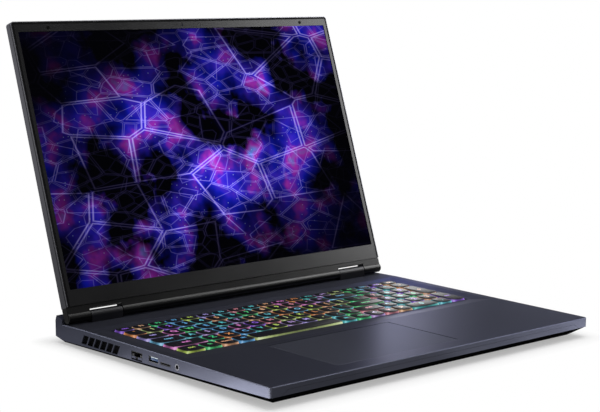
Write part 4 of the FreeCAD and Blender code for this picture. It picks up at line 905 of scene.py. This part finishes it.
def circuit_board(name):
    """Green lacquer over a net of raised copper tracks."""
    material, shade, place = new_material(name)
    cells = shade.node(
        "ShaderNodeTexVoronoi", {"distance": "CHEBYCHEV"}, {"Vector": place, "Scale": 420.0}, "Distance"
    )
    tracks = cells < 0.22
    linked = {
        "Base Color": tracks.mix((0.008, 0.045, 0.028), (0.02, 0.09, 0.05)),
        "Roughness": 0.45 - 0.1 * tracks,
        "Normal": bumped(shade, tracks, 0.2, 0.00004),
    }
    return finish_material(material, shade, linked, {})


dress(
    circuit_board("green_circuit_board"), "main_board", "port_boards", "webcam_module", "memory_modules",
    "storage_drives", "wireless_card",
)
dress(socket_black, "processor_chips")
dress(worked_steel("pipe_copper", (0.72, 0.36, 0.20), 0.3), "heat_pipes")
dress(worked_steel("fin_aluminium", (0.55, 0.55, 0.57), 0.35, "z"), "fin_stacks")
dress(cover_plastic, "fan_housings", "fan_rotor_left", "fan_rotor_right", "battery_pack", "speakers")


# Studio: camera, floor, light and white surround.
# The laptop stands on a plain white sweep under soft boxes; the camera is at the photograph's angle.

CAMERA_TURN = -0.751801
CAMERA_TILT = 0.154123
CAMERA_ROLL = 0.0193143
CAMERA_SPOT = Vector((-1030.5, -916.6 - FRONT_EDGE, 355.0)) * MM
LENS_SHARE = 1632.56 / 600
SENSOR = 36.0
back = Vector((
    math.sin(CAMERA_TURN) * math.cos(CAMERA_TILT),
    -math.cos(CAMERA_TURN) * math.cos(CAMERA_TILT),
    math.sin(CAMERA_TILT),
))
level_right = Vector((math.cos(CAMERA_TURN), math.sin(CAMERA_TURN), 0))
level_up = back.cross(level_right)
right = math.cos(CAMERA_ROLL) * level_right + math.sin(CAMERA_ROLL) * level_up
up = back.cross(right)
lens = bpy.data.cameras.new("photo_camera")
lens.sensor_width = SENSOR
lens.lens = LENS_SHARE * SENSOR
lens.clip_start = 0.05
lens.clip_end = 100.0
camera = bpy.data.objects.new("photo_camera", lens)
camera.matrix_world = Matrix.Translation(CAMERA_SPOT) @ Matrix((right, up, back)).transposed().to_4x4()
bpy.context.scene.collection.objects.link(camera)
bpy.context.scene.camera = camera


def seen_directly(shade):
    """1 for rays that show the surround itself, in view or in a reflection, and 0 for lighting rays."""
    path = shade.tree.nodes.new("ShaderNodeLightPath")
    names = ("Is Camera Ray", "Is Glossy Ray", "Is Transmission Ray")
    sight = [Shade(shade.tree, path.outputs[name]) for name in names]
    return (sight[0] + sight[1] + sight[2]).clamp()


SHADOW_HALF_WIDTH = 0.200
SHADOW_HALF_DEPTH = 0.146
SHADOW_MIDDLE = -0.040
SHADOW_REACH = 0.024
PAPER_WHITE = 0.38


def sweep_material():
    """White paper that keeps the shadow near the laptop and fades to pure white around it."""
    material, shade, place = new_material("white_sweep")
    beside = (place.part("X").apply("ABSOLUTE") - SHADOW_HALF_WIDTH).apply("MAXIMUM", 0.0)
    before = ((place.part("Y") - SHADOW_MIDDLE).apply("ABSOLUTE") - SHADOW_HALF_DEPTH).apply("MAXIMUM", 0.0)
    reach = (beside * beside + before * before).apply("SQRT") / SHADOW_REACH
    far = (PAPER_WHITE + (1.0 - PAPER_WHITE) * reach).clamp()
    fibre = place.noise(300.0)
    shadow_white = fibre.mix((0.93, 0.93, 0.93), (0.95, 0.95, 0.95))
    paper = shade.node("ShaderNodeBsdfDiffuse", {}, {"Color": shadow_white})
    glow = shade.node("ShaderNodeEmission", {}, {"Color": (1.0, 1.0, 1.0, 1.0), "Strength": 1.0})
    surface = shade.node("ShaderNodeMixShader", {}, {0: far * seen_directly(shade), 1: paper, 2: glow})
    shade.node("ShaderNodeOutputMaterial", {}, {"Surface": surface})
    return material


bm = bmesh.new()
bmesh.ops.create_grid(bm, x_segments=2, y_segments=2, size=14.0)
floor_mesh = bpy.data.meshes.new("floor")
bm.to_mesh(floor_mesh)
bm.free()
floor_mesh.materials.append(sweep_material())
floor = bpy.data.objects.new("floor", floor_mesh)
bpy.context.scene.collection.objects.link(floor)

world = bpy.data.worlds.new("white_studio")
bpy.context.scene.world = world
world.use_nodes = True
world.node_tree.nodes.clear()
sky = Shade(world.node_tree)
FILL_LIGHT = 0.62
strength = seen_directly(sky) * (1.0 - FILL_LIGHT) + FILL_LIGHT
backdrop = sky.node("ShaderNodeBackground", {}, {"Color": (1.0, 1.0, 1.0, 1.0), "Strength": strength})
sky.node("ShaderNodeOutputWorld", {}, {"Surface": backdrop})


def soft_box(name, spot, target, width, height, power):
    """A rectangular studio lamp that is lit on the laptop but not itself in view."""
    data = bpy.data.lights.new(name, "AREA")
    data.shape = "RECTANGLE"
    data.size = width
    data.size_y = height
    data.energy = power
    lamp = bpy.data.objects.new(name, data)
    aim = (Vector(spot) - Vector(target)).to_track_quat("Z", "Y").to_matrix().to_4x4()
    lamp.matrix_world = Matrix.Translation(spot) @ aim
    lamp.visible_camera = False
    bpy.context.scene.collection.objects.link(lamp)
    return lamp


def bright_card(name, spot, target, width, height, brightness):
    """A card that shows only as a sheen on glossy metal."""
    card = soft_box(name, spot, target, width, height, brightness * math.pi * width * height)
    card.visible_diffuse = False


soft_box("overhead_box", (0.0, -0.3, 1.6), (0.0, 0.0, 0.0), 1.6, 1.2, 11.0)

# Cards of growing width stand one behind the other, so that their sheen fades away from the lid.
BESIDE_LID_CARDS = [(0.04, 11.0), (0.08, 11.0), (0.12, 6.0), (0.16, 3.0)]
BESIDE_LOW = 0.045
BESIDE_HIGH = 0.16
for index, (width, level) in enumerate(BESIDE_LID_CARDS):
    spot = Vector((0.235 + width / 2, 0.118 + 0.002 * index, (BESIDE_LOW + BESIDE_HIGH) / 2))
    aim = spot + Vector((0, -1, 0))
    bright_card(f"beside_lid_card_{index}", spot, aim, width, BESIDE_HIGH - BESIDE_LOW, level)
bright_card("chin_card", (0.60, -0.12, 0.37), (0.2, 0.13, 0.17), 0.34, 0.44, 25.0)
bright_card("strip_card", (0.50, 0.12, 0.80), (-0.1, 0.09, 0.03), 0.30, 0.30, 14.0)
bright_card("lid_side_card", (-0.56, 0.64, 0.16), (-0.2, 0.16, 0.16), 0.30, 0.30, 2.5)

# Cards lie on the floor along the left and front walls, and grow brighter towards one end.
LEFT_CARDS = [(-0.20, 0.14, 1.8), (-0.20, 0.02, 4.2), (-0.20, -0.06, 5.0), (-0.20, -0.11, 11.0)]
for index, (front, rear, level) in enumerate(LEFT_CARDS):
    spot = Vector((-0.235, (front + rear) / 2, 0.001 + 0.0005 * index))
    bright_card(f"left_card_{index}", spot, spot + Vector((0, 0, 1)), 0.06, rear - front, level)
FRONT_CARDS = [(-0.06, 0.30, 1.2), (0.04, 0.30, 2.3), (0.13, 0.30, 3.4), (0.20, 0.30, 7.5)]
for index, (left, right, level) in enumerate(FRONT_CARDS):
    spot = Vector(((left + right) / 2, -0.222, 0.001 + 0.0005 * index))
    bright_card(f"front_card_{index}", spot, spot + Vector((0, 0, 1)), right - left, 0.06, level)

bright_card("front_edge_card", (2.64, -0.99, 2.90), (0.0, -0.186, 0.02), 2.0, 1.2, 9.0)
bright_card("left_edge_card", (-0.45, 0.55, 0.65), (-0.2, -0.10, 0.02), 0.30, 0.50, 16.0)
bpy.context.scene.view_settings.view_transform = "Standard"
